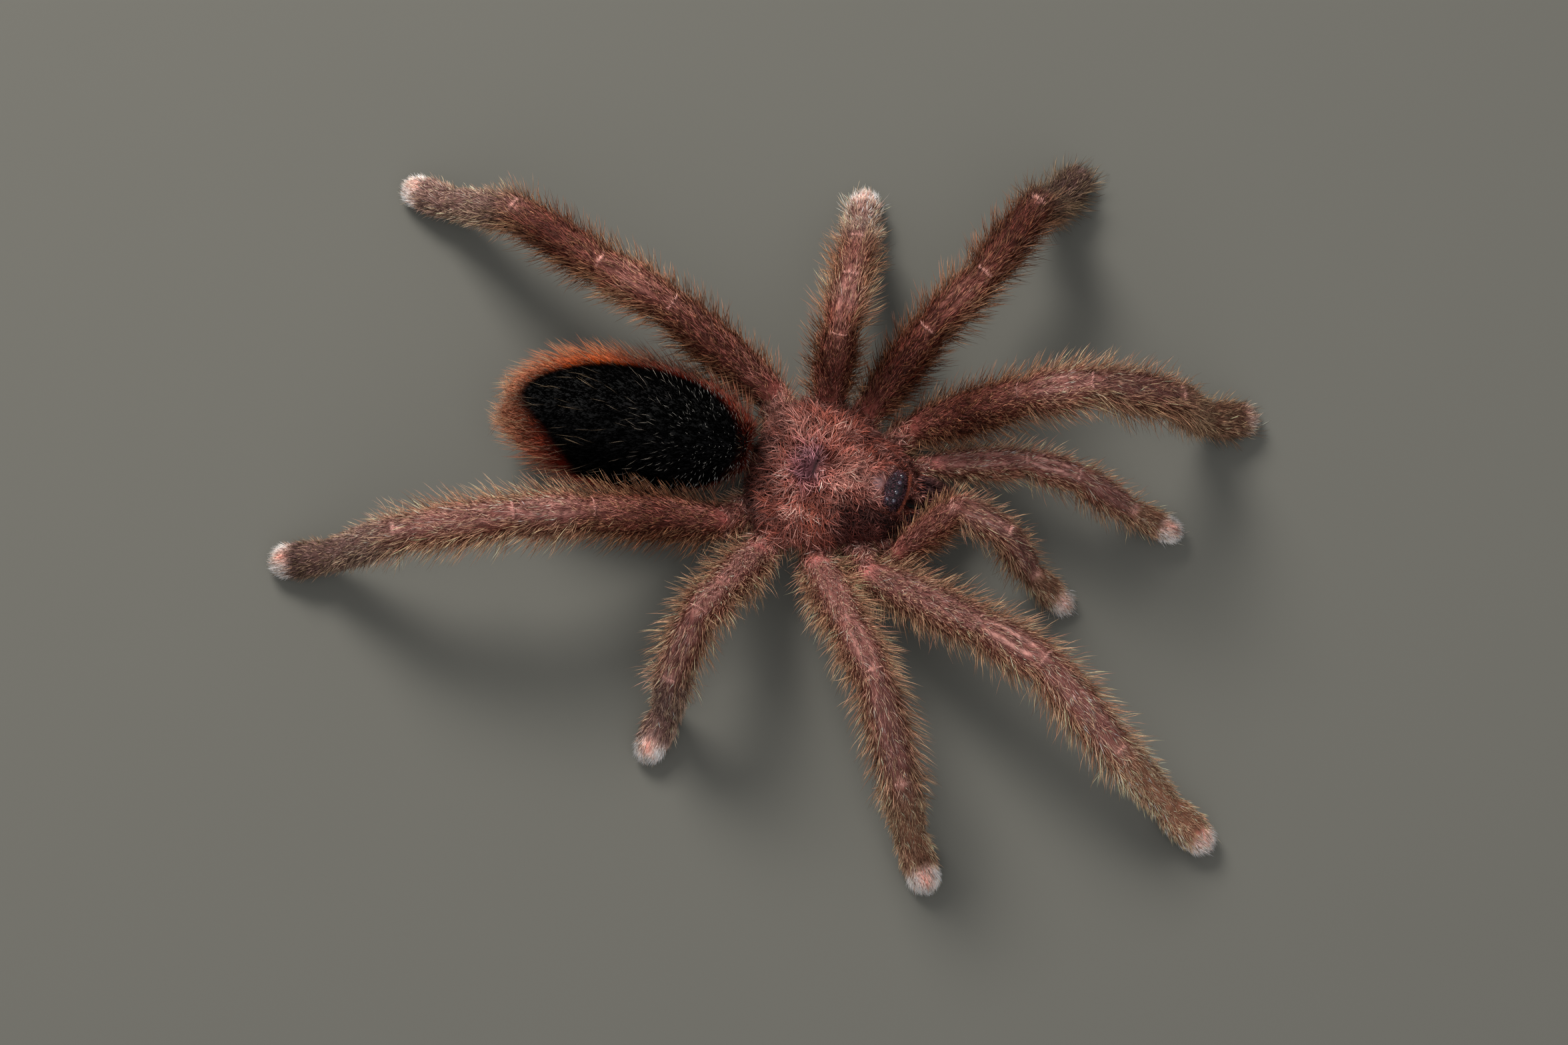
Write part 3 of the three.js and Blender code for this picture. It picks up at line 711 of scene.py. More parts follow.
def anatomy(points):
    """Each point belongs to the part whose surface is nearest."""
    count = len(points)
    best = np.full(count, np.inf)
    part = np.zeros(count, int)
    limb = np.full(count, -1)
    along, around = np.zeros(count), np.zeros(count)
    lie = np.zeros((count, 3))

    def keep(distance, name, limb_index, u, angle, way):
        closer = distance < best
        best[closer] = distance[closer]
        part[closer] = PART[name]
        limb[closer] = limb_index
        along[closer] = u[closer]
        around[closer] = angle[closer]
        lie[closer] = way[closer]

    for piece in LIMB_PIECES:
        distance, u, angle, way = limb_nearness(points, piece)
        keep(distance, piece.name, piece.limb, u, angle, np.broadcast_to(way, points.shape))

    x, y, z = points.T
    radial = np.stack([x + 0.01, y, 0 * x], -1)
    across_head = smooth(x, 1, 5)[:, None]
    forward = np.stack([1 + 0 * x, 0.1 * y, 0 * x], -1)
    u = (x - CARAPACE["rear"]) / (CARAPACE["front"] - CARAPACE["rear"])
    keep(carapace_nearness(points), "carapace", -1, u, np.arctan2(y, z - CARAPACE_RIM_Z + 1),
         unit(mix(unit(radial), unit(forward), 0.5 * across_head)))

    u, wide, high = abdomen_place(points)
    back, across = abdomen_axes()
    fan = back + across * (0.6 * wide / ABDOMEN["half_width"])[:, None]
    fan[:, 2] += 0.25 * high / ABDOMEN["up"]
    keep(abdomen_nearness(points), "abdomen", -1, u, np.arctan2(wide, high), unit(fan))

    for sign in (1, -1):
        path = JAW_PATH if sign > 0 else other_side(JAW_PATH)
        distance, u, way, middle = path_nearness(points, path, 1.9)
        angle = np.arctan2(y - middle[:, 1], x - middle[:, 0] + z - middle[:, 2])
        keep(distance, "jaw", -1, u, angle, way)
        distance, u, way, middle = path_nearness(points, spinneret_path(sign), 0.75)
        keep(distance, "spinneret", -1, u, np.arctan2(y - middle[:, 1], z - middle[:, 2]), way)
    distance, u, way, middle = path_nearness(points, PEDICEL_PATH, 1.2)
    keep(distance, "pedicel", -1, u, np.arctan2(y, z - middle[:, 2]), way)

    middle = (STERNUM["top"] + STERNUM["bottom"]) / 2
    flat = np.clip(points, (STERNUM["rear"] + 1.5, -2.4, middle - 0.1),
                   (STERNUM["front"] - 1, 2.4, middle))
    distance = np.linalg.norm(points - flat, axis=1) - 1.35
    rearward = np.broadcast_to(np.array([-1.0, 0.0, 0.0]), points.shape)
    u = (x - STERNUM["rear"]) / (STERNUM["front"] - STERNUM["rear"])
    keep(distance, "sternum", -1, u, np.arctan2(y, z - middle), rearward)
    return Anatomy(part, limb, along, around, lie, points)


def limb_place(where):
    """How far down its limb each point lies, in pieces: 0 at the body and 6 at the tip. A
    palp's foot counts for two, as it has no metatarsus."""
    share = np.clip(where.along, 0, 1)
    palp_foot = (where.limb % LIMBS_A_SIDE == PALP) & is_part(where.part, "tarsus")
    return np.where(palp_foot, 4 + 2 * share, where.part + share)


def by_limb(where, table, elsewhere=1.0):
    """The table's value at each point of its limbs, and another on all the rest."""
    values = np.full(len(where.limb), elsewhere)
    for limb, value in table.items():
        values[where.limb == LIMBS.index(limb)] = value
    return values


def is_part(values, *names):
    """Where the part is one of the named ones."""
    return np.isin(values, [PART[name] for name in names])


# ---- markings, shared by skin and hair ----

# How far the abdomen's black cover lies to the right and ahead, in half widths and half lengths.
COVER_RIGHT = 0.14
COVER_AHEAD = 0.06

# How bare the paired stripes on top of each piece are.
STRIPES = {"femur": 0.35, "patella": 0.6, "tibia": 0.3}
BAREST_LIMB = "right_leg_1"               # the limb whose knee has the barest stripes
STRIPED_LIMB = "left_palp"                # the one whose stripes are all nearly twice as bare
BARE_KNEED_LIMB = "right_palp"            # the one whose knee is bare beyond its stripes

JOINT_DIP = 0.5                           # how far a joint's bare top lies inside the solid's
KNOB_RISE = np.array([0.0, 0.0, 1.6])     # from a hip's middle to its bare knob
KNOB_TINT = np.array([1.0, 0.62, 0.66])   # the share of the bare skin's light that a knob has
WIDE_BAR = ("right_palp", "femur")        # the one joint whose bar of pale hairs is wide

# Painted shade and light on each limb's coat, from coxa to tarsus, where it isn't even: below 1 is
# painted shade, above 1 painted light.
LIMB_PAINTED_SHADE_AND_LIGHT = {
    "left_palp": (1, 1.2, 1.2, 1, 1, 1),
    "left_leg_1": (1, 0.36, 1.12, 0.9, 0.75, 0.6),
    "left_leg_2": (1, 0.24, 0.7, 0.36, 0.45, 0.45),
    "left_leg_3": (1, 0.36, 1, 0.72, 1.1, 1.7),
    "left_leg_4": (1, 0.44, 0.8, 0.34, 1, 1),
    "right_palp": (1, 0.65, 1, 1, 1, 1),
    "right_leg_1": (1, 1, 1, 1.3, 1.3, 1.4),
    "right_leg_2": (1, 1.2, 1, 1, 1, 1),
    "right_leg_4": (1, 0.46, 1.1, 1.15, 1, 0.5),
}

# The feet that have the hind feet's colour.
GREYER_FEET = ("left_leg_2", "left_leg_3", "left_leg_4", "right_leg_3", "right_leg_4")

# How much of its pale colour each pad shows, where it isn't all of it.
DULL_PADS = {"left_leg_1": 0.55, "left_leg_2": 0.12, "left_leg_3": 0.8, "left_leg_4": 0.9,
             "right_leg_1": 0.8, "right_palp": 0.75}

# How much nearer the tip a pad starts, in shares of the tarsus.
SMALL_PADS = {"left_leg_1": 0.1, "right_leg_1": 0.1}

# How far a foot sheds its standing hairs, where it keeps more of them than the others.
SHAGGY_FEET = {"left_palp": 0.6, "left_leg_1": 0.55, "left_leg_2": 0.2, "left_leg_3": 0.6,
               "right_palp": 0.6}


def waver(points, size, seed):
    """A slow, even unrest from -1 to 1: the mean of four sine waves in seeded directions."""
    rng = np.random.default_rng(seed)
    waves = rng.normal(size=(4, 3)) * (2 * np.pi / size)
    phases = rng.uniform(0, 2 * np.pi, 4)
    return np.sin(points @ waves.T + phases).mean(axis=1)


def bald_share(where):
    """1 on the bare stripes: two along the top of each upper leg piece, fading at its ends."""
    degrees = np.degrees(np.abs(where.around))
    knee = is_part(where.part, "patella")
    strength = sum(value * is_part(where.part, name) for name, value in STRIPES.items())
    strength = np.where(knee & (where.limb == LIMBS.index(BAREST_LIMB)), 1.0, strength)
    strength = np.where(where.limb == LIMBS.index(STRIPED_LIMB), 1.8 * strength, strength)
    wide, at = np.where(knee, 8.0, 6.0), np.where(knee, 18.0, 23.0)
    reach = smooth(where.along, 0.04, 0.16) * (1 - smooth(where.along, 0.75, 0.95))
    broken = smooth(waver(where.place, 2.2, 14), -0.35, 0.15)
    return strength * np.exp(-((degrees - at) / wide) ** 4) * reach * mix(broken, 1, strength)


def joint_reach(piece):
    """How far above a piece's far joint its bare patch lies."""
    return outer_radius(piece, 1.0) - JOINT_DIP


def joint_tops(names, rise):
    """The place on top of the far joint of each limb piece of these names."""
    return np.array([piece.far + rise(piece) for piece in LIMB_PIECES if piece.name in names])


def joint_share(where):
    """1 on the small bare patch on top of each joint beyond the hip."""
    tops = joint_tops(JOINTED, lambda piece: joint_reach(piece) * piece_axes(piece)[2])
    away = np.linalg.norm(where.place[:, None, :] - tops[None], axis=2).min(axis=1)
    return (where.limb >= 0) * hump(away, 0, 0.7)


def knob_share(where):
    """1 on the bare knob on top of each hip."""
    tops = joint_tops(("coxa",), lambda piece: KNOB_RISE)
    away = np.linalg.norm(where.place[:, None, :] - tops[None], axis=2).min(axis=1)
    return (where.limb >= 0) * hump(away, 0, 1.2)


def heart_share(where):
    """1 on the salmon patch on top of each pad, which stops short of the tip."""
    reach = smooth(where.along, 0.56, 0.74) * (1 - smooth(where.along, 0.92, 1))
    return reach * hump(where.around, 0, 0.6)


def pad_share(where):
    """1 on the pale pad round the tip of each foot, which has a ragged upper edge."""
    edge = where.along + 0.05 * waver(where.place, 0.9, 16)
    edge = edge - by_limb(where, SMALL_PADS, 0.0)
    return by_limb(where, DULL_PADS) * is_part(where.part, "tarsus") * smooth(edge, 0.55, 0.77)


def dome_share(where):
    """1 on the bare dome just behind the eyes."""
    x, y, _ = where.place.T
    return np.clip(1.25 * hump(x, 7.3, 0.95) * hump(y, 0, 1.35), 0, 1)


def bare_share(where):
    """How bare of hair the limbs are: stripes, joints and knobs."""
    bare = 0.75 * bald_share(where) + 0.85 * joint_share(where) + 0.7 * knob_share(where)
    return np.clip(bare, 0, 0.95)


def wool_share(where):
    """Where the carapace and the hips bear wool: not on the eyes' mound, the bald dome, the
    pit's slit, the knobs, or far round the edge."""
    x, y, z = where.place.T
    eyes = np.hypot((x - MOUND["x"]) / 1.15, y / 2.0) < 1
    under = smooth(CARAPACE_RIM_Z - z, 0.3, 1.5)
    bare = 1 - np.clip(1.3 * dome_share(where), 0, 1)
    slit = 1 - 0.6 * hump(x, 0, 0.3) * hump(y, 0, 1.0)
    return bare * slit * np.where(eyes, 0.0, 1.0) * (1 - 0.8 * under) * (1 - bare_share(where))


def bristle_share(where):
    """Where the middling hairs grow: fewer on top and few on the pads."""
    side = smooth(np.abs(where.around), 0.15, 1.0)
    return (1 - bare_share(where)) * mix(0.8, 1.0, side) * (1 - 0.9 * pad_share(where))


def seta_share(where):
    """Where the long hairs grow: few on top and on the feet, and fewer below."""
    foot = is_part(where.part, "tarsus") * smooth(where.along, 0.15, 0.65)
    foot = foot * by_limb(where, SHAGGY_FEET)
    side = smooth(np.abs(where.around), 0.3, 1.1)
    below = 1 - 0.45 * smooth(np.abs(where.around), 2.2, 2.9)
    return (1 - bare_share(where)) * mix(0.22, 1.0, side) * (1 - 0.97 * foot) * below


def abdomen_marks(where):
    """How far each point is out on the fringe, and towards its left, rear and front. The black
    cover is an oval a little ahead of the abdomen's middle and to its right, and the fringe
    starts earlier at the right rear and in front."""
    u, wide, high = abdomen_place(where.place)
    level = wide / ABDOMEN["half_width"]
    ends = (u - 0.5) / 0.5
    out = np.hypot((level - COVER_RIGHT) * 1.06, (ends + COVER_AHEAD) * 0.97)
    below = smooth(-high + 2.5 * smooth(-level, -0.5, 0.5), 0.0, 2.5)
    right_rear = smooth(ends, 0.05, 0.6) * smooth(level, -0.2, 0.5)
    start = 0.86 - 0.22 * right_rear - 0.08 * smooth(-ends, 0.5, 0.9)
    fringe = np.maximum(smooth(out, start, 0.99), below)
    return fringe, smooth(-level, 0.1, 0.7), smooth(ends, 0.35, 0.95), smooth(-ends, 0.6, 0.88)


def fringe_share(where):
    """Where the abdomen bears its fringe."""
    return abdomen_marks(where)[0]


def painted_shade_and_light(where):
    """What the limbs' colours are multiplied by, as painted shade and light: the table's value at
    the middle of each piece, and evenly from one middle to the next. Above the feet a colour
    darkened by painted shade is redder too. Pads keep their own colour, and joints more than
    half of theirs."""
    kept = np.ones(len(where.part))
    place = limb_place(where)
    middles = np.arange(len(LEG_PIECES)) + 0.5
    for limb, values in LIMB_PAINTED_SHADE_AND_LIGHT.items():
        there = where.limb == LIMBS.index(limb)
        kept[there] = np.interp(place[there], middles, values)
    kept = kept ** (1 - np.maximum(0.6 * joint_share(where), pad_share(where)))
    redder = (1 - 0.85 * smooth(place, 3.6, 4.4))[:, None] * np.array([0, 0.5, 0.7])
    return kept[:, None] * np.minimum(kept, 1)[:, None] ** redder


def skin_tints(where, colours):
    """The colour of the ground at each point: one for each part, then the stripes, patches
    and fringes that lie over it, all of it lighter and darker by a slow unrest."""
    table = dict.fromkeys(PARTS, colours.under) | dict.fromkeys(LEG_PIECES, colours.leg)
    table |= {"carapace": colours.carapace, "abdomen": colours.velvet, "jaw": colours.jaw}
    tints = np.array([tuple(table[name]) for name in PARTS])[where.part]
    tints = limb_tints(tints, where, colours)
    tints = carapace_tints(tints, where, colours)
    tints = abdomen_tints(tints, where, colours)
    unrest = 1 + 0.16 * waver(where.place, 3.1, 11) + 0.12 * waver(where.place, 1.2, 12)
    return tints * unrest[:, None]


def limb_tints(tints, where, colours):
    """Over the legs' mauve, browner sides and feet of another colour; then the bare stripes,
    joints and knobs, the dark insteps, the pale pads and soles, the hearts of the pads, and
    one bare knee; all of it times the painted shade and light of its stretch of coat."""
    on_limb = where.limb >= 0
    tarsus = is_part(where.part, "tarsus")
    beside = smooth(np.abs(where.around), 0.35, 1.2)
    lower = on_limb * smooth(limb_place(where), 3.75, 4.35)
    greyer = np.isin(where.limb, [LIMBS.index(limb) for limb in GREYER_FEET])
    instep = (1 - greyer) * tarsus * hump(where.around, 0, 0.7)
    sole = lower * smooth(np.abs(where.around), 1.9, 2.6)
    heart = tarsus * heart_share(where) * by_limb(where, DULL_PADS) ** 1.5
    knee = (where.limb == LIMBS.index(BARE_KNEED_LIMB)) * is_part(where.part, "patella")
    tints = layered(
        tints,
        (colours.leg_side, on_limb * beside),
        (colours.foot, lower * ~greyer),
        (colours.hind_foot, lower * greyer),
        (colours.bare, 0.8 * bald_share(where)),
        (colours.bare, 0.4 * joint_share(where)),
        (times(colours.bare, KNOB_TINT), 0.85 * knob_share(where)),
        (times(colours.foot, 0.5), 0.6 * instep),
        (colours.toe, np.maximum(pad_share(where), 0.45 * sole)),
        (colours.toe_heart, 0.9 * heart),
        (colours.bare, 0.6 * knee * (1 - smooth(where.along, 0.1, 0.45))),
    )
    # Painted shade and light, limb by limb and piece by piece.
    return tints * painted_shade_and_light(where)


def carapace_tints(tints, where, colours):
    """Pale and copper locks; dark flanks beside the head, partly their own dark fur and partly
    painted shade, most on the right; a rear darkened by painted shade where it falls to the
    abdomen, and a dark left side; a pale ridge along the head between its two furrows, which
    are darkened by painted shade; the violet pit and its slit, darkened by painted shade; the
    bare dome, and dark fur round the eyes and on the jaws' roots."""
    x, y, _ = where.place.T
    side = np.abs(y)
    shell = 1.0 * is_part(where.part, "carapace")
    woolly = np.maximum(shell, 0.7 * is_part(where.part, "coxa"))
    lock = 2 * waver(where.place, 2.4, 13) + 1.2 * waver(where.place, 0.9, 15)
    hip = hump(x, -6.5, 3.0) * hump(y, 6.0, 3.0)
    flank = smooth(side, 1.5, 3.4) * smooth(x, 1.8, 4.4) * (1 - smooth(side, 6.4, 7.8))
    rear = shell * smooth(-x, 1.0, 5.0) * (1 - 0.6 * hip)
    ridge = hump(y, 0, 1.3) * smooth(x, 1.0, 2.2) * (1 - smooth(x, 5.4, 6.6))
    furrow = hump(side, 1.2 + 0.9 * np.clip(x, 0, 6), 0.75) * smooth(x, 0.3, 1.8)
    patch = hump(x, -0.5, 1.1) * hump(side, 0.6, 1.2)
    slit = hump(x, 0, 0.2) * hump(y, 0, 0.9)
    eye_field = smooth(x, 8.0, 8.6) * (1 - smooth(side, 1.9, 2.5)) * (1 - smooth(x, 10.2, 10.6))
    jaw_base = is_part(where.part, "jaw") * hump(x, 11.6, 1.5) * hump(side, 1.9, 1.4)
    return layered(
        tints,
        (colours.wool_pale, woolly * np.clip(smooth(lock, 0.1, 1.0) + 0.7 * hip, 0, 0.9)),
        (colours.copper, 0.8 * woolly * smooth(-lock, 0.0, 0.8) * (1 - hip)),
        # Dark flanks, partly their own fur and partly painted shade, the right one most.
        (colours.flank, shell * flank * np.where(y < 0, 0.95, 0.4)),
        # Painted shade on the carapace's rear, where it falls to the abdomen.
        (0.14 * np.asarray(colours.carapace) ** 1.2, 0.9 * rear),
        (times(colours.carapace, 0.3), 0.5 * shell * smooth(y, 4.2, 6.4)),
        (colours.wool_pale, 0.6 * shell * ridge),
        # Painted shade in the head's furrows.
        (colours.flank, 0.5 * shell * furrow),
        (colours.pit, 0.85 * shell * np.clip(1.3 * patch, 0, 1)),
        # Painted shade in the pit's slit.
        (times(colours.pit, 0.1), 0.85 * shell * np.clip(1.3 * slit, 0, 1)),
        (colours.dome, shell * dome_share(where)),
        (colours.face, 0.9 * (shell * eye_field)),
        (colours.face, 0.95 * jaw_base),
    )


def abdomen_tints(tints, where, colours):
    """Black on top; round it dark red, a lighter red on the right as painted light, orange on the
    upper left, salmon behind, and brown below."""
    fringe, left, rear, front = abdomen_marks(where)
    _, _, high = abdomen_place(where.place)
    upper = smooth(high, -3.2, 0.2)
    right = smooth(where.around, -0.2, 0.5)
    on_abdomen = is_part(where.part, "abdomen")
    belly = on_abdomen * smooth(-where.place[:, 2], -PIT_Z + 5.5, -PIT_Z + 8)
    edge = layered(
        np.tile(times(colours.side, 0.7), (len(fringe), 1)),
        # Painted light on the right side's fringe.
        (times(colours.side, 2.2), right * smooth(where.along, 0.3, 0.6)),
        (colours.rim, left * smooth(where.along, 0.44, 0.62) * mix(0.15, 1.0, upper)),
        (colours.rear, rear * (1 - 0.45 * left) * mix(0.4, 1.0, upper)),
        (times(colours.side, 0.6), front),
        (colours.under, 0.8 * belly),
    )
    return mix(tints, edge, (on_abdomen * fringe)[:, None])


# ---- strands of hair ----

class Roots(NamedTuple):
    """Where hairs grow: places on the skin, its normals there, and where those places lie."""
    place: np.ndarray
    normal: np.ndarray
    where: Anatomy


class Skin(NamedTuple):
    """The skin's triangles, for hair to grow on."""
    corners: np.ndarray   # each triangle's three points
    normals: np.ndarray   # each corner's normal
    area: np.ndarray
    part: np.ndarray      # index into PARTS
    limb: np.ndarray      # index into LIMBS, or -1 on the body


def scatter(skin, chosen, density, share, seed):
    """Roots spread evenly by area over the chosen triangles, at density for a square
    millimetre, of which share(where) says how many are kept."""
    rng = np.random.default_rng(seed)
    triangles = np.flatnonzero(chosen)
    total = np.cumsum(skin.area[triangles])
    count = int(total[-1] * density)
    picked = triangles[np.searchsorted(total, rng.random(count) * total[-1])]
    a, b = np.sqrt(rng.random(count)), rng.random(count)
    weights = np.stack([1 - a, a * (1 - b), a * b], -1)[..., None]
    place = (skin.corners[picked] * weights).sum(axis=1)
    normal = unit((skin.normals[picked] * weights).sum(axis=1))
    where = anatomy(place)
    kept = rng.random(count) < share(where)
    return Roots(place[kept], normal[kept], Anatomy(*(values[kept] for values in where)))


def combed(roots, stray, drift, rng, seed):
    """The lie of the hair laid flat on the skin and turned about the normal: by a drift that
    near neighbours share, which parts the coat into locks, and by each hair's own stray."""
    lie = roots.where.lie
    flat = unit(lie - (lie * roots.normal).sum(axis=1, keepdims=True) * roots.normal + 1e-6)
    angle = 2 * drift * waver(roots.place, LOCK_SIZE, seed) + rng.normal(0, stray, len(flat))
    angle = angle[:, None]
    return flat * np.cos(angle) + np.cross(roots.normal, flat) * np.sin(angle)


def centre_lines(roots, lie, length, rise, curl, steps):
    """Each hair's line: it leaves the skin at rise's first angle and bends evenly towards
    its second, while its heading turns by curl from root to tip. Gives the lines, and each
    hair's own side."""
    share = (np.arange(steps) + 0.5) / steps
    angle = mix(rise[0][:, None], rise[1][:, None], share)[..., None]
    turn = (curl[:, None] * share)[..., None]
    side = np.cross(roots.normal, lie)
    heading = np.cos(turn) * lie[:, None, :] + np.sin(turn) * side[:, None, :]
    step = (length / steps)[:, None, None]
    way = step * (np.cos(angle) * heading + np.sin(angle) * roots.normal[:, None, :])
    start = (roots.place - ROOT_DEPTH * roots.normal)[:, None]
    lines = np.concatenate([start, start + np.cumsum(way, axis=1)], axis=1)
    lines[..., 2] = np.maximum(lines[..., 2], FLOOR_CLEAR + 0.02)
    return lines, side


def strand_points(lines, side, width):
    """A three-sided spindle about each line: points at the root and the tip, and a triangle
    round each joint between, thinning to the tip. A straight hair has its triangle at the root."""
    steps = lines.shape[1] - 1
    joints = lines[:, :1] if steps == 1 else lines[:, 1:-1]
    way = unit(np.diff(lines, axis=1))
    way = way if steps == 1 else unit(way[:, :-1] + way[:, 1:])
    across = unit(side[:, None, :] - (side[:, None, :] * way).sum(-1, keepdims=True) * way)
    above = np.cross(way, across)
    s = np.arange(joints.shape[1]) / max(steps - 1, 1)
    radius = (0.5 * width[:, None] * (1 - 0.6 * s))[..., None, None]
    angle = (2 * np.pi * np.arange(STRAND_SIDES) / STRAND_SIDES)[:, None]
    spokes = np.cos(angle) * across[:, :, None, :] + np.sin(angle) * above[:, :, None, :]
    rings = joints[:, :, None, :] + radius * spokes
    rings[..., 2] = np.maximum(rings[..., 2], FLOOR_CLEAR)
    rings = rings.reshape(len(lines), -1, 3)
    if steps == 1:
        return np.concatenate([rings, lines[:, -1:]], axis=1)
    return np.concatenate([lines[:, :1], rings, lines[:, -1:]], axis=1)


def strand_shares(steps):
    """The share of the way from root to tip at each of a strand's points."""
    if steps == 1:
        return np.array([0.0] * STRAND_SIDES + [1.0])
    return np.concatenate([[0.0], np.repeat(np.arange(1, steps) / steps, STRAND_SIDES), [1.0]])


def strand_faces(steps):
    """The triangles of one strand: its root, the sides between its joints, and its tip."""
    first = 0 if steps == 1 else 1
    joints = max(steps - 1, 1)
    tip = first + joints * STRAND_SIDES
    faces = []
    for i in range(STRAND_SIDES):
        j = (i + 1) % STRAND_SIDES
        if steps > 1:
            faces.append((0, first + j, first + i))
        for row in range(joints - 1):
            a, b = first + row * STRAND_SIDES + i, first + row * STRAND_SIDES + j
            faces += [(a, b, b + STRAND_SIDES), (a, b + STRAND_SIDES, a + STRAND_SIDES)]
        last = tip - STRAND_SIDES
        faces.append((last + i, last + j, tip))
    if steps == 1:
        faces.append((0, 2, 1))
    return np.array(faces)


def unwrap(where):
    """Each root's place on an unwrap of the skin: a cell for each part of each limb, with the
    share along the part one way and the angle round it the other."""
    cells, index = np.unique(where.limb * len(PARTS) + where.part, return_inverse=True)
    grid = math.ceil(math.sqrt(len(cells)))
    across = np.clip(where.along, 0, 1)
    up = where.around / (2 * np.pi) + 0.5
    corner = np.stack([index % grid, index // grid], -1)
    return (corner + 0.02 + 0.94 * np.stack([across, up], -1)) / grid


def speckle(count, spread, rng):
    """A random brightness for each hair: about 1, and from 0.4 to 2.2."""
    return np.exp(rng.normal(0, spread, count)).clip(0.4, 2.2)[:, None]


def clumps(where, strength=0.8, size=0.9, seed=47):
    """The brightness of each tuft: near hairs share it, so that the coat parts into light
    locks and dark gaps."""
    return np.exp(strength * waver(where.place, size, seed))[:, None]


def deep_shade(tints, share):
    """The darker, redder tint that a hair has at its root: partly the hair's own darker base and
    partly painted shade deep in the coat.
    """
    return share * tints ** 1.3


def bright(tints, factor, limit=0.95):
    """The paler shade of the same tint that a hair has at its tip."""
    return np.clip(factor * tints, 0, limit)


def angles(degrees, spread, count, rng):
    """How far each hair stands off the skin: a random angle about degrees, in radians."""
    return np.radians(degrees + rng.normal(0, spread, count))


def everywhere(where):
    """The share of hairs that grow where nothing is bare."""
    return np.ones(len(where.part))


class Coat:
    """One piece's strands, and what they grow from: the skin, the sizes and the colours."""

    def __init__(self, context):
        self.skin = made_skin()
        self.sizes = context.scene.tarantula_coat
        self.colours = context.scene.tarantula_colours
        self.points, self.faces, self.tints, self.patches = [], [], [], []
        self.count = 0

    def add(self, roots, lie, length, rise, root_tint, tip_tint, *, width, upright, steps,
            curl=0.0, bend=1.0):
        """Adds one strand at each root. It bends until upright of its rise is left at the tip,
        and its tint runs from the root's to the tip's by the share of the way, to the power
        bend."""
        width, curl = (np.broadcast_to(value, length.shape) for value in (width, curl))
        lines, side = centre_lines(roots, lie, length, (rise, upright * rise), curl, steps)
        points = strand_points(lines, side, width)
        strands, per_strand = points.shape[:2]
        faces = strand_faces(steps)
        starts = self.count + np.arange(strands) * per_strand
        s = strand_shares(steps)
        tint = mix(root_tint[:, None, :], tip_tint[:, None, :], (s ** bend)[None, :, None])
        at_end = (s == 1) | ((s == 0) & (steps > 1))
        corner = np.where(at_end, 0.5, np.arange(per_strand) % STRAND_SIDES / STRAND_SIDES)
        patch = np.stack([corner, s], -1)[faces.ravel()]
        self.points.append(points.reshape(-1, 3))
        self.faces.append((starts[:, None, None] + faces).reshape(-1, 3))
        self.tints.append(tint.reshape(-1, 3))
        self.patches.append((unwrap(roots.where)[:, None, :] + TUFT_PATCH * patch).reshape(-1, 2))
        self.count += strands * per_strand

    def build(self, name, material):
        """One joined mesh of all the strands, with its tints and its unwrap."""
        points = (np.concatenate(self.points) + ORIGIN) * MM
        faces = np.concatenate(self.faces)
        mesh = bpy.data.meshes.new(name)
        mesh.vertices.add(len(points))
        mesh.vertices.foreach_set("co", points.astype(np.float32).ravel())
        mesh.loops.add(faces.size)
        mesh.loops.foreach_set("vertex_index", faces.astype(np.int32).ravel())
        mesh.polygons.add(len(faces))
        mesh.polygons.foreach_set("loop_start", np.arange(0, faces.size, 3, dtype=np.int32))
        mesh.update(calc_edges=True)
        mesh.shade_smooth()
        paint(mesh, np.concatenate(self.tints))
        layer = mesh.uv_layers.new(name="OFBake")
        layer.uv.foreach_set("vector", np.concatenate(self.patches).astype(np.float32).ravel())
        return finish_piece(name, mesh, material)


# ---- pieces ----

# What one step leaves for the next: the skin that hair grows on.
made = {}


def made_skin():
    """The skin's triangles, once the step that makes them has run."""
    if "skin" not in made:
        raise RuntimeError("Make the skin before its coat")
    return made["skin"]


def paint(mesh, tints):
    """Stores a colour for each point of the mesh, as the attribute named tint."""
    attribute = mesh.color_attributes.new("tint", "FLOAT_COLOR", "POINT")
    colours = np.concatenate([np.clip(tints, 0, 1), np.ones((len(tints), 1))], axis=1)
    attribute.data.foreach_set("color", colours.astype(np.float32).ravel())


def finish_piece(name, mesh, material, replaced=()):
    """Puts a mesh into the scene as a piece that rides on the animal."""
    mesh.materials.append(material)
    piece = bpy.data.objects.new(name, mesh)
    bpy.context.scene.collection.objects.link(piece)
    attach(piece, "root")
    if replaced:
        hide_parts(*replaced)
    return piece


def mesh_of(name, surfaces):
    """One smooth mesh from closed surfaces given in millimetres."""
    points, faces, count = [], [], 0
    for surface_points, surface_faces in surfaces:
        points.append(surface_points)
        faces += [[index + count for index in face] for face in surface_faces]
        count += len(surface_points)
    mesh = bpy.data.meshes.new(name)
    mesh.from_pydata(((np.concatenate(points) + ORIGIN) * MM).tolist(), [], faces)
    mesh.shade_smooth()
    return mesh


def read_rows(items, key, kind):
    """One field of all the items, three numbers to a row."""
    rows = np.zeros(len(items) * 3, kind)
    items.foreach_get(key, rows)
    return rows.reshape(-1, 3)


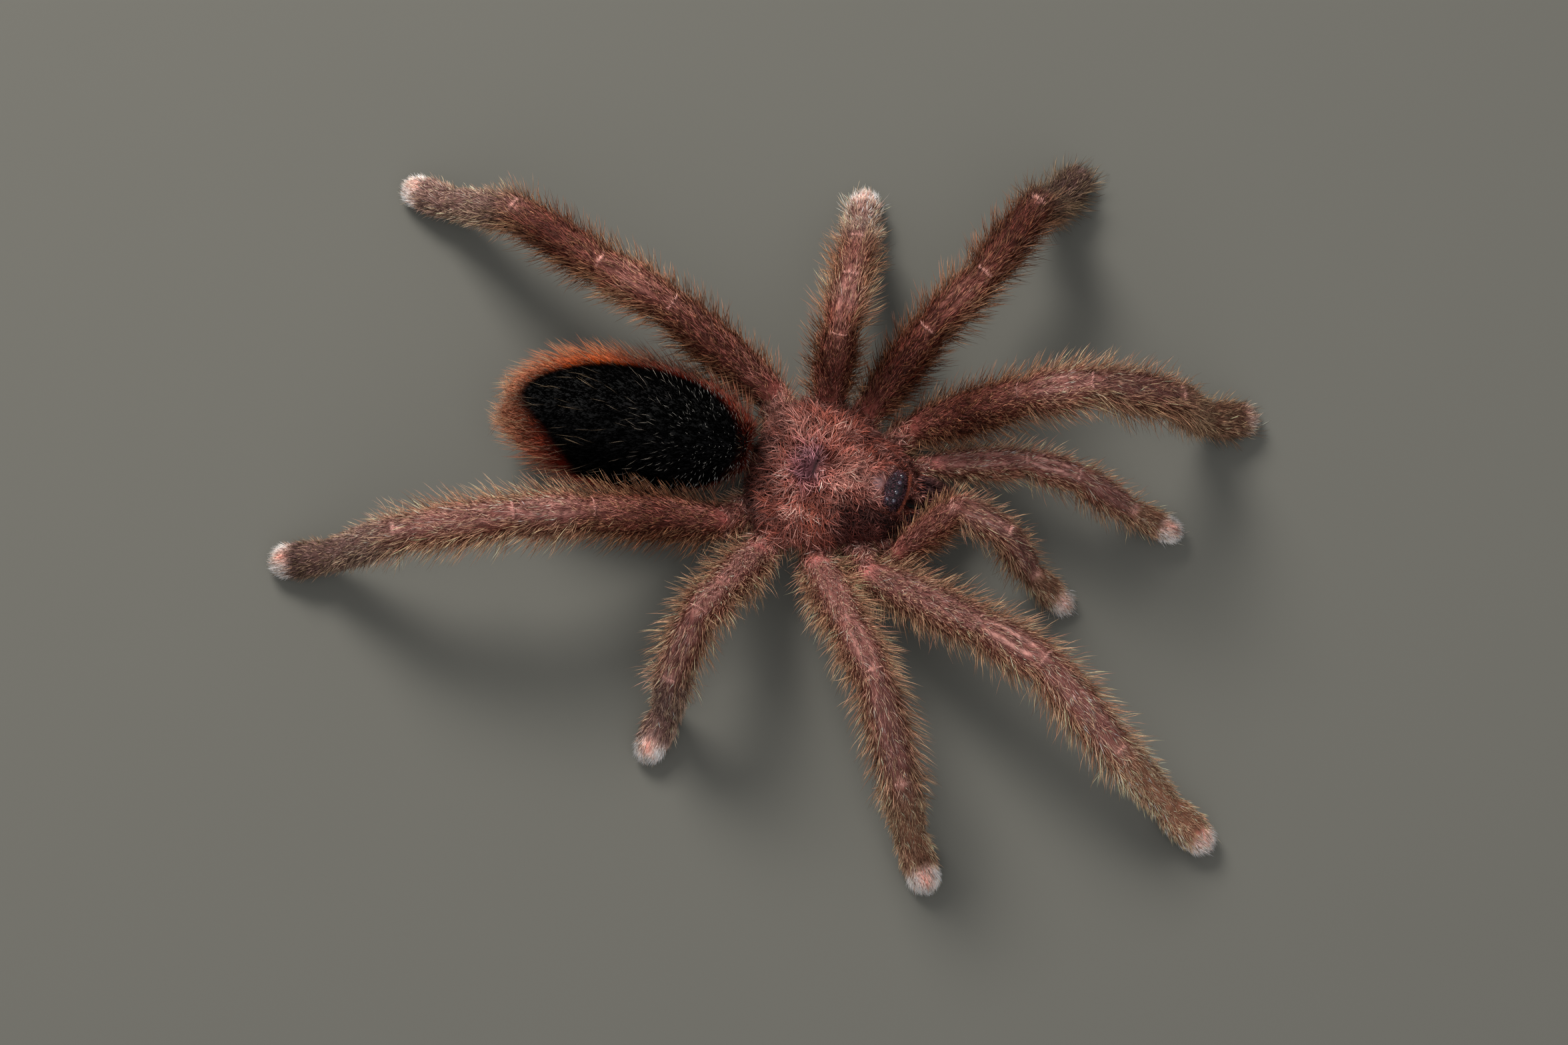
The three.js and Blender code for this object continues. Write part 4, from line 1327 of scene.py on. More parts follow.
def one_skin(context, surfaces, grain):
    """The closed surfaces as one mesh: voxels of the grain's size, softened."""
    form = mesh_of("skin_form", surfaces)
    rough = bpy.data.objects.new("skin_form", form)
    context.scene.collection.objects.link(rough)
    remesh = rough.modifiers.new("one_surface", "REMESH")
    remesh.mode = "VOXEL"
    remesh.voxel_size = grain
    soften = rough.modifiers.new("soften", "SMOOTH")
    soften.factor = 0.5
    soften.iterations = 6
    context.view_layer.update()
    evaluated = rough.evaluated_get(context.evaluated_depsgraph_get())
    mesh = bpy.data.meshes.new_from_object(evaluated)
    mesh.name = "tarantula_skin"
    mesh.shade_smooth()
    bpy.data.objects.remove(rough)
    bpy.data.meshes.remove(form)
    return mesh


# ---- the kinds of hair ----

def add_pile(coat, chosen, seed):
    """Short hairs that lie towards the tip, shorter on the feet."""
    rng = np.random.default_rng(seed)

    def share(where):
        return (1 - bare_share(where)) * np.where(is_part(where.part, "coxa"), 0.7, 1.0)

    roots = scatter(coat.skin, chosen, coat.sizes.pile_density, share, seed)
    where = roots.where
    count = len(where.part)
    foot = is_part(where.part, *FOOT_PIECES)
    length = coat.sizes.pile_length / MM * np.where(foot, 0.75, 1.0) * rng.uniform(0.5, 1.2, count)
    rise = angles(np.where(foot, 26, 16), 5, count, rng)
    tint = 0.9 * skin_tints(where, coat.colours) * speckle(count, 0.44, rng) * clumps(where)
    width = coat.sizes.pile_width / MM * rng.uniform(0.7, 1.15, count)
    coat.add(roots, combed(roots, 0.2, 0.16, rng, 31), length, rise, deep_shade(tint, 0.28),
             bright(tint, 1.55), width=width, upright=0.4, steps=1)


def add_joint_bars(coat, side, seed):
    """A short pale comb of thick hairs across the top of each joint beyond the hip."""
    rng = np.random.default_rng(seed)
    places, normals = [], []
    for piece in LIMB_PIECES:
        if piece.limb // LIMBS_A_SIDE == side and piece.name in JOINTED:
            way, level, above = piece_axes(piece)
            turn = rng.uniform(-0.52, 0.52, BAR_HAIRS)[:, None]
            spoke = np.cos(turn) * above + np.sin(turn) * level
            spread = 0.3 if (LIMBS[piece.limb], piece.name) == WIDE_BAR else 0.05
            off = rng.normal(0, spread, (BAR_HAIRS, 1)) * way
            places.append(piece.far + joint_reach(piece) * spoke + off)
            normals.append(spoke)
    place, normal = np.concatenate(places), np.concatenate(normals)
    count = len(place)
    roots = Roots(place, normal, anatomy(place))
    rise = angles(54, 8, count, rng)
    shown = 0.65 + 0.35 * waver(place, 9.0, 17)
    tint = blend(skin_tints(roots.where, coat.colours), coat.colours.bare, shown)
    tint = tint * speckle(count, 0.25, rng)
    coat.add(roots, combed(roots, 0.25, 0.1, rng, 44), rng.uniform(0.3, 0.75, count), rise,
             0.8 * tint, bright(tint, 1.3), width=0.1, upright=0.3, steps=1)


def add_pads(coat, chosen, seed):
    """The dense pale brush round each foot's tip, which leans out beyond it, and darker
    hairs of the foot that run in between."""
    rng = np.random.default_rng(seed)

    def share(where):
        return pad_share(where) * (1 - 0.45 * heart_share(where))

    roots = scatter(coat.skin, chosen, 38.0, share, seed)
    count = len(roots.place)
    length = 1.15 * rng.uniform(0.5, 1.15, count)
    rise = angles(38, 10, count, rng)
    darker = (rng.random(count) < 0.14) * 0.8
    tint = blend(skin_tints(roots.where, coat.colours), coat.colours.foot, darker)
    tint *= speckle(count, 0.16, rng)
    coat.add(roots, combed(roots, 0.3, 0.1, rng, 32), length, rise, 0.95 * tint,
             bright(tint, 1.9, limit=1.0), width=0.085, upright=0.6, steps=1)


class SetaLayer(NamedTuple):
    """One layer of the standing hairs of the limbs."""
    density: float        # roots on a square millimetre
    share: Callable       # how many of them grow at each place
    length: float         # in metres, as the width
    width: float
    steepness: float      # the share of the long hairs' rise
    upright: float        # the share of its rise that a hair has left at its tip
    pale: float           # how far the tip turns to the hairs' own colour
    foot_cut: float       # how much shorter the hairs of a foot are
    steps: int


def add_setae(coat, chosen, seed):
    """Bristles and long hairs: dark at the root and pale at the tip, standing off the skin and
    bending towards the foot, shorter on top and on the feet, and lighter and darker by tufts."""
    rng = np.random.default_rng(seed)
    sizes, colours = coat.sizes, coat.colours
    layers = (
        SetaLayer(sizes.bristle_density, bristle_share, sizes.bristle_length,
                  sizes.bristle_width, 0.6, 0.45, pale=0.42, foot_cut=0.2, steps=2),
        SetaLayer(sizes.seta_density, seta_share, sizes.seta_length,
                  sizes.seta_width, 0.86, 0.66, pale=0.6, foot_cut=0.54, steps=3),
    )
    for number, layer in enumerate(layers):
        roots = scatter(coat.skin, chosen, layer.density, layer.share, seed + 5 * number + 1)
        where = roots.where
        count = len(where.part)
        foot = is_part(where.part, "metatarsus") * smooth(where.along, -0.3, 0.8)
        foot = (foot + is_part(where.part, "tarsus")) * by_limb(where, SHAGGY_FEET)
        beside = smooth(np.abs(where.around), 0.3, 1.1)
        length = layer.length / MM * rng.uniform(0.4, 1.12, count) * mix(0.75, 1.0, beside)
        length *= 1 - foot * layer.foot_cut
        length *= np.where(is_part(where.part, "coxa"), 0.75, 1.0)
        length *= np.where(where.limb % LIMBS_A_SIDE == PALP, 0.8, 1.0)
        rise = sizes.seta_rise * layer.steepness * mix(0.7, 1.0, beside)
        rise = (rise + rng.normal(0, 0.15, count)) * (1 - 0.3 * foot)
        width = layer.width / MM * rng.uniform(0.75, 1.2, count)
        ground = skin_tints(where, colours)
        pale = rng.uniform(0.4, 1.4, count) * layer.pale
        tip = blend(bright(ground, 1.3, limit=1.0), colours.seta, pale)
        # The tips carry most of the limbs' painted shade and light.
        tip *= speckle(count, 0.46, rng) * painted_shade_and_light(where) ** 0.8 * clumps(where)
        root = deep_shade(mix(ground, np.asarray(colours.seta_root), 0.5), 0.4)
        root = root * speckle(count, 0.2, rng)
        curl = rng.normal(0, 0.3, count)
        coat.add(roots, combed(roots, 0.24, 0.3, rng, 33), length, rise, root, bright(tip, 1.0),
                 width=width, upright=layer.upright, curl=curl, steps=layer.steps, bend=0.9)


def add_wool(coat, chosen, seed):
    """Long tangled hairs that run out from the pit and over the hips, shorter on the head,
    on its flanks and behind."""
    rng = np.random.default_rng(seed)

    def share(where):
        return wool_share(where) * np.where(is_part(where.part, "coxa"), 0.5, 1.0)

    roots = scatter(coat.skin, chosen, coat.sizes.wool_density, share, seed)
    where = roots.where
    count = len(where.part)
    x, y, _ = where.place.T
    head = smooth(x, 1.0, 5.0) * (1 - smooth(np.abs(y), 3.0, 5.5))
    flank = smooth(np.abs(y), 2.8, 4.4) * smooth(x, 2.6, 5.0)
    length = coat.sizes.wool_length / MM * rng.uniform(0.45, 1.2, count)
    length *= 1 - 0.35 * head - 0.3 * flank
    length *= (1 - 0.5 * smooth(x, 7.5, 9.5)) * mix(0.45, 1.0, smooth(np.hypot(x, y), 0.5, 2.2))
    length *= 1 - 0.45 * smooth(-x, 4.0, 6.6)
    rise = angles(28 + 16 * waver(where.place, 1.6, 34), 9, count, rng) * (1 - 0.3 * head)
    tint = skin_tints(where, coat.colours) * speckle(count, 0.32, rng)
    tint *= clumps(where, 0.9, 1.5, 46)
    width = 0.108 * rng.uniform(0.6, 1.2, count)
    curl = rng.normal(0, 0.7, count) + 1.5 * waver(where.place, 1.1, 45)
    coat.add(roots, combed(roots, 0.32, 0.8, rng, 35), length, rise, deep_shade(tint, 0.42),
             bright(tint, 1.42), width=width, upright=0.1, curl=curl, steps=3, bend=0.9)


def add_down(coat, chosen, seed):
    """Short dark hairs that fill in between the wool."""
    rng = np.random.default_rng(seed)
    roots = scatter(coat.skin, chosen, 26.0, wool_share, seed)
    count = len(roots.place)
    rise = angles(30, 10, count, rng)
    tint = deep_shade(skin_tints(roots.where, coat.colours), 0.55) * speckle(count, 0.3, rng)
    coat.add(roots, combed(roots, 0.6, 0.5, rng, 43), rng.uniform(0.5, 1.3, count), rise,
             deep_shade(tint, 0.5), tint, width=0.1, upright=0.5, curl=rng.normal(0, 0.5, count),
             steps=1)


def add_face_hair(coat, chosen, seed):
    """Fuzzy hairs down the jaws, shortest by the eyes and longest at the front."""
    rng = np.random.default_rng(seed)
    roots = scatter(coat.skin, chosen, 42.0, everywhere, seed)
    count = len(roots.place)
    length = mix(0.8, 1.9, roots.where.along) * rng.uniform(0.6, 1.3, count)
    rise = angles(40, 11, count, rng)
    tint = skin_tints(roots.where, coat.colours) * speckle(count, 0.3, rng)
    coat.add(roots, combed(roots, 0.4, 0.3, rng, 36), length, rise, deep_shade(tint, 0.5),
             bright(tint, 1.35), width=0.095, upright=0.5, curl=rng.normal(0, 0.4, count),
             steps=2)


def add_brow(coat, seed):
    """The ridge of reddish hair across the front edge of the carapace, before the eyes: roots
    spread along a line whose ends bow back."""
    rng = np.random.default_rng(seed)
    y = rng.uniform(-BROW["half_width"], BROW["half_width"], BROW_HAIRS)
    x = BROW["x"] - 0.05 * y ** 2 + rng.normal(0, 0.05, BROW_HAIRS)
    place = np.stack([x, y, carapace_top(x) - 0.55 + 0 * x], -1)
    normal = unit(np.stack([0.35 + 0 * x, 0.05 * y, 1 + 0 * x], -1))
    roots = Roots(place, normal, anatomy(place))
    rise = angles(70, 8, BROW_HAIRS, rng)
    tint = np.tile(coat.colours.copper, (BROW_HAIRS, 1)) * speckle(BROW_HAIRS, 0.25, rng)
    coat.add(roots, combed(roots, 0.5, 0.2, rng, 37), rng.uniform(0.4, 0.8, BROW_HAIRS), rise,
             deep_shade(tint, 0.5), bright(tint, 1.2), width=0.08, upright=0.7,
             curl=rng.normal(0, 0.4, BROW_HAIRS), steps=2)


def add_mound_hair(coat, seed):
    """Short dark violet hairs between the eyes and round their mound: roots spread evenly over
    an ellipse, on a dome that rises to the mound's top."""
    rng = np.random.default_rng(seed)
    count = MOUND_HAIRS
    turn, reach = rng.uniform(0, 2 * np.pi, count), np.sqrt(rng.uniform(0.02, 1.3, count))
    x = MOUND["x"] + MOUND["half_length"] * reach * np.cos(turn)
    y = MOUND["half_width"] * reach * np.sin(turn)
    inside = np.clip(1 - reach ** 2, 0, 1)
    ground = carapace_top(x) - 0.45
    place = np.stack([x, y, ground + (MOUND["height"] + 0.25) * np.sqrt(inside)], -1)
    normal = unit(np.stack([(x - MOUND["x"]) / MOUND["half_length"], 0.4 * y, 1.2 + 0 * x], -1))
    roots = Roots(place, normal, anatomy(place))
    rise = angles(50, 12, count, rng)
    tint = blend(np.tile(coat.colours.face, (count, 1)), coat.colours.pit,
                 rng.uniform(0, 0.4, count))
    tint = tint * speckle(count, 0.4, rng)
    coat.add(roots, combed(roots, 0.7, 0.3, rng, 42), rng.uniform(0.3, 0.7, count), rise,
             deep_shade(tint, 0.6), bright(tint, 1.3), width=0.07, upright=0.5,
             curl=rng.normal(0, 0.4, count), steps=2)


def add_under_hair(coat, chosen, seed):
    """Middling hairs that lie rearwards below the body and on the spinnerets."""
    rng = np.random.default_rng(seed)
    roots = scatter(coat.skin, chosen, 14.0, everywhere, seed)
    count = len(roots.place)
    length = 1.3 * rng.uniform(0.6, 1.4, count)
    rise = angles(34, 9, count, rng)
    tint = skin_tints(roots.where, coat.colours) * speckle(count, 0.22, rng)
    coat.add(roots, combed(roots, 0.35, 0.3, rng, 38), length, rise, deep_shade(tint, 0.6),
             bright(tint, 1.4, limit=0.9), width=0.1, upright=0.4,
             curl=rng.normal(0, 0.3, count), steps=2)


def add_velvet(coat, chosen, seed):
    """Dense short pile that leans rearwards."""
    rng = np.random.default_rng(seed)
    roots = scatter(coat.skin, chosen, 24.0, everywhere, seed)
    count = len(roots.place)
    length = coat.sizes.velvet_length / MM * rng.uniform(0.7, 1.2, count)
    rise = angles(34, 8, count, rng)
    tint = skin_tints(roots.where, coat.colours) * speckle(count, 0.2, rng)
    coat.add(roots, combed(roots, 0.3, 0.2, rng, 39), length, rise, 0.6 * tint,
             bright(tint, 1.2, limit=0.9), width=0.13, upright=0.6, steps=1)


def add_fringe(coat, chosen, seed):
    """A dense ruff round the abdomen's edge and below it, darker at the root, and through it
    sparse far longer hairs with pale tips."""
    rng = np.random.default_rng(seed)
    for density, reach, width, paleness in ((26.0, 0.75, 0.085, 0.18), (8.0, 1.9, 0.055, 0.75)):
        roots = scatter(coat.skin, chosen, density, fringe_share, seed)
        where = roots.where
        count = len(where.part)
        _, _, high = abdomen_place(where.place)
        below = smooth(-high, 1.0, 4.0)
        _, left, rear, front = abdomen_marks(where)
        length = reach * coat.sizes.rim_length / MM * rng.uniform(0.5, 1.2, count)
        length *= 1 - 0.4 * below
        length *= 1 - 0.1 * front - 0.3 * rear
        rise = angles(44, 9, count, rng) * (1 - 0.3 * below)
        ground = skin_tints(where, coat.colours)
        pale = paleness * rng.uniform(0.2, 1.2, count) * (1 - 0.5 * front) * (1 - 0.3 * left)
        tip = blend(bright(ground, 1.25, limit=1.0), coat.colours.seta, pale)
        tip *= speckle(count, 0.4, rng)
        coat.add(roots, combed(roots, 0.22, 0.3, rng, 40), length, rise, 0.6 * ground,
                 bright(tip, 1.0), width=width, upright=0.5, curl=rng.normal(0, 0.25, count),
                 steps=2, bend=1.5)


def add_pale_hairs(coat, chosen, seed):
    """Sparse fine pale hairs over the black top: upright in front, lying back behind."""
    rng = np.random.default_rng(seed)

    def share(where):
        return (1 - fringe_share(where)) * mix(1.0, 0.1, smooth(where.along, 0.15, 0.5))

    roots = scatter(coat.skin, chosen, 3.4, share, seed)
    where = roots.where
    count = len(where.part)
    back = smooth(where.along, 0.2, 0.6)
    length = mix(0.9, 3.6, back) * rng.uniform(0.7, 1.2, count)
    rise = angles(mix(88.0, 26.0, back), 8, count, rng)
    root = np.tile(linear(24, 18, 14), (count, 1))
    tip = blend(np.tile(linear(184, 180, 172), (count, 1)), linear(160, 134, 104), back)
    tip *= speckle(count, 0.4, rng)
    coat.add(roots, combed(roots, 0.22, 0.15, rng, 41), length, rise, root, bright(tip, 1.0),
             width=0.034, upright=0.5, curl=rng.normal(0, 0.2, count), steps=2, bend=1.6)


# ---- materials ----

def new_material(name, roughness, specular):
    """A material with its shader, whose gloss is the same all over."""
    material = bpy.data.materials.new(name)
    material.use_nodes = True
    shader = material.node_tree.nodes["Principled BSDF"]
    shader.inputs["Roughness"].default_value = roughness
    shader.inputs["Specular IOR Level"].default_value = specular
    return material, material.node_tree, shader


def noise(tree, scale, detail=3.0):
    """Noise on the piece's own coordinates."""
    place = tree.nodes.new("ShaderNodeTexCoord")
    texture = tree.nodes.new("ShaderNodeTexNoise")
    texture.inputs["Scale"].default_value = scale
    texture.inputs["Detail"].default_value = detail
    tree.links.new(place.outputs["Object"], texture.inputs["Vector"])
    return texture.outputs["Fac"]


def ranged(tree, value, low, high):
    """The value from 0.3 to 0.7 spread over low to high."""
    node = tree.nodes.new("ShaderNodeMapRange")
    for socket, number in (("From Min", 0.3), ("From Max", 0.7), ("To Min", low), ("To Max", high)):
        node.inputs[socket].default_value = number
    tree.links.new(value, node.inputs["Value"])
    return node.outputs["Result"]


def add_bump(tree, shader, height, strength, distance):
    """Lets a height, in steps of distance, turn the shader's normal."""
    bump = tree.nodes.new("ShaderNodeBump")
    bump.inputs["Strength"].default_value = strength
    bump.inputs["Distance"].default_value = distance
    tree.links.new(height, bump.inputs["Height"])
    tree.links.new(bump.outputs["Normal"], shader.inputs["Normal"])


def tinted_by_attribute(tree, shader, brightness):
    """The piece's own tint, made lighter and darker by a value about 1."""
    tint = tree.nodes.new("ShaderNodeAttribute")
    tint.attribute_name = "tint"
    scaled = tree.nodes.new("ShaderNodeVectorMath")
    scaled.operation = "SCALE"
    tree.links.new(tint.outputs["Color"], scaled.inputs[0])
    tree.links.new(brightness, scaled.inputs["Scale"])
    tree.links.new(scaled.outputs["Vector"], shader.inputs["Base Color"])


def two_tones(tree, shader, scale, low, high):
    """A colour that noise mixes from two, each given with its place on the ramp."""
    ramp = tree.nodes.new("ShaderNodeValToRGB")
    for stop, (position, colour) in zip(ramp.color_ramp.elements, (low, high)):
        stop.position = position
        stop.color = (*colour, 1)
    tree.links.new(noise(tree, scale), ramp.inputs["Fac"])
    tree.links.new(ramp.outputs["Color"], shader.inputs["Base Color"])


def skin_material():
    """Leathery cuticle under short down: mottled, with fine pores."""
    material, tree, shader = new_material("tarantula_skin", 0.7, 0.12)
    tinted_by_attribute(tree, shader, ranged(tree, noise(tree, 900), 0.72, 1.2))
    add_bump(tree, shader, noise(tree, 5200, 4.0), 0.6, 0.00012)
    return material


def hair_material(name, roughness, specular, unrest):
    """Hair that keeps its piece's tint, lighter and darker from lock to lock."""
    material, tree, shader = new_material(name, roughness, specular)
    tinted_by_attribute(tree, shader, ranged(tree, noise(tree, 700), 1 - unrest, 1 + unrest))
    return material


def dark_shell(name, dark, pale, roughness, grain, bump):
    """Hard dark cuticle: two near colours mixed by noise, with a fine bump."""
    material, tree, shader = new_material(name, roughness, 0.5)
    two_tones(tree, shader, grain, (0.35, linear(*dark)), (0.7, linear(*pale)))
    add_bump(tree, shader, noise(tree, grain * 3), bump, 0.00005)
    return material, shader


def eye_material():
    """A dark violet lens, mottled with a paler violet that is painted reflection, under a clear
    glossy coat.
    """
    # The paler of the two colours is painted reflection.
    material, shader = dark_shell("eye_lens", (15, 13, 22), (60, 54, 72), 0.08, 1500, 0.02)
    shader.inputs["Coat Weight"].default_value = 1.0
    shader.inputs["Coat Roughness"].default_value = 0.02
    return material


def floor_material(colour):
    """Plain grey board, with a faint mottle."""
    material, tree, shader = new_material("floor", 0.9, 0.2)
    two_tones(tree, shader, 40, (0.0, [0.97 * x for x in colour]), (1.0, colour))
    return material


# ---- the stage ----

def view_axes():
    """From the aim back to the camera, and the view's right and upper side on the floor."""
    azimuth, elevation = math.radians(VIEW_AZIMUTH), math.radians(VIEW_ELEVATION)
    back = Vector((math.sin(azimuth) * math.cos(elevation),
                   -math.cos(azimuth) * math.cos(elevation), math.sin(elevation)))
    right = Vector((math.cos(azimuth), math.sin(azimuth), 0))
    return back, right, Vector((-math.sin(azimuth), math.cos(azimuth), 0))


def add_camera(scene, back):
    """The camera, on the line from the aim along back."""
    data = bpy.data.cameras.new("camera")
    data.lens = LENS
    data.sensor_width = SENSOR_WIDTH
    data.clip_start = NEAR_CLIP
    camera = bpy.data.objects.new("camera", data)
    aim = Vector(VIEW_AIM) * MM + Vector(ORIGIN) * MM
    camera.location = aim + back * VIEW_DISTANCE
    camera.rotation_euler = (-back).to_track_quat("-Z", "Y").to_euler()
    scene.collection.objects.link(camera)
    scene.camera = camera


def add_floor(scene, colour):
    """A square floor far wider than the view."""
    mesh = bpy.data.meshes.new("floor")
    mesh.from_pydata([(x * FLOOR_REACH, y * FLOOR_REACH, 0)
                      for x, y in ((-1, -1), (1, -1), (1, 1), (-1, 1))], [], [(0, 1, 2, 3)])
    mesh.materials.append(floor_material(colour))
    floor = bpy.data.objects.new("floor", mesh)
    scene.collection.objects.link(floor)


def soft_light(name, power, size, place, colour):
    """A square area light, sized and placed in metres, that faces the frame's origin."""
    data = bpy.data.lights.new(name, "AREA")
    data.energy = power
    data.size = size
    data.color = colour
    lamp = bpy.data.objects.new(name, data)
    lamp.location = place
    lamp.rotation_euler = (-Vector(place)).to_track_quat("-Z", "Y").to_euler()
    bpy.context.scene.collection.objects.link(lamp)


def add_sky(scene, strength):
    """An even pale light all round."""
    world = bpy.data.worlds.new("studio")
    world.use_nodes = True
    ground = world.node_tree.nodes["Background"]
    ground.inputs["Color"].default_value = (*SKY_COLOUR, 1)
    ground.inputs["Strength"].default_value = strength
    scene.world = world


# ---- operators ----

# The nodes that the skin stands for: all but the eyes, their mound and the fangs.
FLESH = [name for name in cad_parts
         if not name.endswith(("_eye", "_fang")) and name != "eye_tubercle"]


class TARANTULA_OT_stage(bpy.types.Operator):
    """Sets the camera, the floor and the soft lights"""
    bl_idname = "tarantula.stage"
    bl_label = "Stage"

    def execute(self, context):
        scene = context.scene
        settings = scene.tarantula_stage
        back, right, up = view_axes()
        add_camera(scene, back)
        add_floor(scene, tuple(settings.floor))
        key = KEY_RIGHT * right + KEY_UP * up + Vector((0, 0, KEY_HEIGHT))
        soft_light("key", settings.key_power, KEY_SIZE, key, KEY_COLOUR)
        soft_light("fill", settings.fill_power, FILL_SIZE, FILL_PLACE, FILL_COLOUR)
        add_sky(scene, settings.sky_strength)
        scene.view_settings.view_transform = "Standard"
        return {"FINISHED"}


class TARANTULA_OT_skin(bpy.types.Operator):
    """Makes one skin over all the flesh, a coat's depth inside the solids"""
    bl_idname = "tarantula.skin"
    bl_label = "Skin"

    def execute(self, context):
        settings = context.scene.tarantula_skin
        mesh = one_skin(context, body_surfaces(settings), settings.grain)
        points = read_rows(mesh.vertices, "co", np.float32) / MM - ORIGIN
        normals = read_rows(mesh.vertex_normals, "vector", np.float32)
        where = anatomy(points)
        tints = skin_tints(where, context.scene.tarantula_colours)
        # Under the coat the skin is darkened as painted shade; pads, bare places and the dome keep
        # their tint.
        shown = np.clip(pad_share(where) + bare_share(where) + dome_share(where), 0, 1)[:, None]
        paint(mesh, mix(deep_shade(tints, 0.38), tints, shown))

        mesh.calc_loop_triangles()
        triangles = read_rows(mesh.loop_triangles, "vertices", np.int32)
        corners = points[triangles]
        cross = np.cross(corners[:, 1] - corners[:, 0], corners[:, 2] - corners[:, 0])
        first = triangles[:, 0]
        made["skin"] = Skin(corners, normals[triangles], np.linalg.norm(cross, axis=1) / 2,
                            where.part[first], where.limb[first])
        finish_piece("tarantula_skin", mesh, skin_material(), FLESH)
        return {"FINISHED"}


class TARANTULA_OT_eyes(bpy.types.Operator):
    """Makes the eye mound and its eight lenses"""
    bl_idname = "tarantula.eyes"
    bl_label = "Eyes"

    def execute(self, context):
        shell, _ = dark_shell("mound_shell", (8, 5, 9), (26, 18, 28), 0.7, 2500, 1.0)
        place = (MOUND["x"], 0.0, carapace_top(MOUND["x"]) - 0.15)
        sizes = np.array([MOUND["half_length"], MOUND["half_width"], MOUND["height"]])
        mound = mesh_of("eye_mound", [ball(place, sizes, columns=48, rows=26)])
        finish_piece("eye_mound", mound, shell, ("eye_tubercle",))
        lens = eye_material()
        for side in SIDES:
            for eye in EYES:
                node = f"{side}_{eye}_eye"
                low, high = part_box(node)
                middle = np.array((low + high) / 2) / MM - ORIGIN
                radius = (high.y - low.y) / 2 / MM
                surface = ball(middle, np.full(3, radius), columns=32, rows=20)
                name = f"{node}_lens"
                finish_piece(name, mesh_of(name, [surface]), lens, (node,))
        return {"FINISHED"}


class TARANTULA_OT_horn(bpy.types.Operator):
    """Makes the two fangs and the paired claws of the feet"""
    bl_idname = "tarantula.horn"
    bl_label = "Fangs and claws"

    def execute(self, context):
        fang, _ = dark_shell("fang_horn", (10, 6, 6), (40, 16, 12), 0.22, 900, 0.1)
        for side, path in zip(SIDES, (FANG_PATH, other_side(FANG_PATH))):
            name = f"{side}_fang_horn"
            mesh = mesh_of(name, [horn(path, 0.7, 0.14)])
            finish_piece(name, mesh, fang, (f"{side}_fang",))
        shell, _ = dark_shell("claw_horn", (8, 6, 6), (30, 20, 18), 0.25, 2500, 0.1)
        claws = [claw(piece, sign) for piece in LIMB_PIECES if piece.name == "tarsus"
                 for sign in (1, -1)]
        finish_piece("foot_claws", mesh_of("foot_claws", claws), shell)
        return {"FINISHED"}


class TARANTULA_OT_leg_coat(bpy.types.Operator):
    """Covers the limbs with short pile, bristles and long hairs"""
    bl_idname = "tarantula.leg_coat"
    bl_label = "Limb coat"

    def execute(self, context):
        skin = made_skin()
        pile = hair_material("leg_pile", 0.5, 0.2, 0.25)
        setae = hair_material("leg_setae", 0.45, 0.2, 0.2)
        for number, side in enumerate(SIDES):
            on_side = (skin.limb >= 0) & (skin.limb // LIMBS_A_SIDE == number)
            coat = Coat(context)
            add_pile(coat, on_side, 100 + number)
            add_pads(coat, on_side & is_part(skin.part, "tarsus"), 150 + number)
            add_joint_bars(coat, number, 160 + number)
            coat.build(f"{side}_limb_pile", pile)
            for order, (group, members) in enumerate(SETA_GROUPS.items()):
                coat = Coat(context)
                chosen = on_side & np.isin(skin.limb % LIMBS_A_SIDE, members)
                add_setae(coat, chosen, 200 + 30 * number + 10 * order)
                coat.build(f"{side}_{group}_setae", setae)
        return {"FINISHED"}


class TARANTULA_OT_body_coat(bpy.types.Operator):
    """Covers the carapace, jaws, face and underside with hair"""
    bl_idname = "tarantula.body_coat"
    bl_label = "Body coat"

    def execute(self, context):
        skin = made_skin()
        material = hair_material("body_hair", 0.5, 0.2, 0.22)
        facing_up = skin.normals[:, 0, 2] > 0.15
        woolly = is_part(skin.part, "carapace") | (is_part(skin.part, "coxa") & facing_up)
        coat = Coat(context)
        add_wool(coat, woolly, 301)
        coat.build("carapace_wool", material)
        coat = Coat(context)
        add_down(coat, woolly, 303)
        add_brow(coat, 305)
        add_mound_hair(coat, 306)
        add_face_hair(coat, is_part(skin.part, "jaw"), 311)
        add_under_hair(coat, is_part(skin.part, "sternum", "pedicel", "spinneret"), 321)
        coat.build("short_body_hair", material)
        return {"FINISHED"}


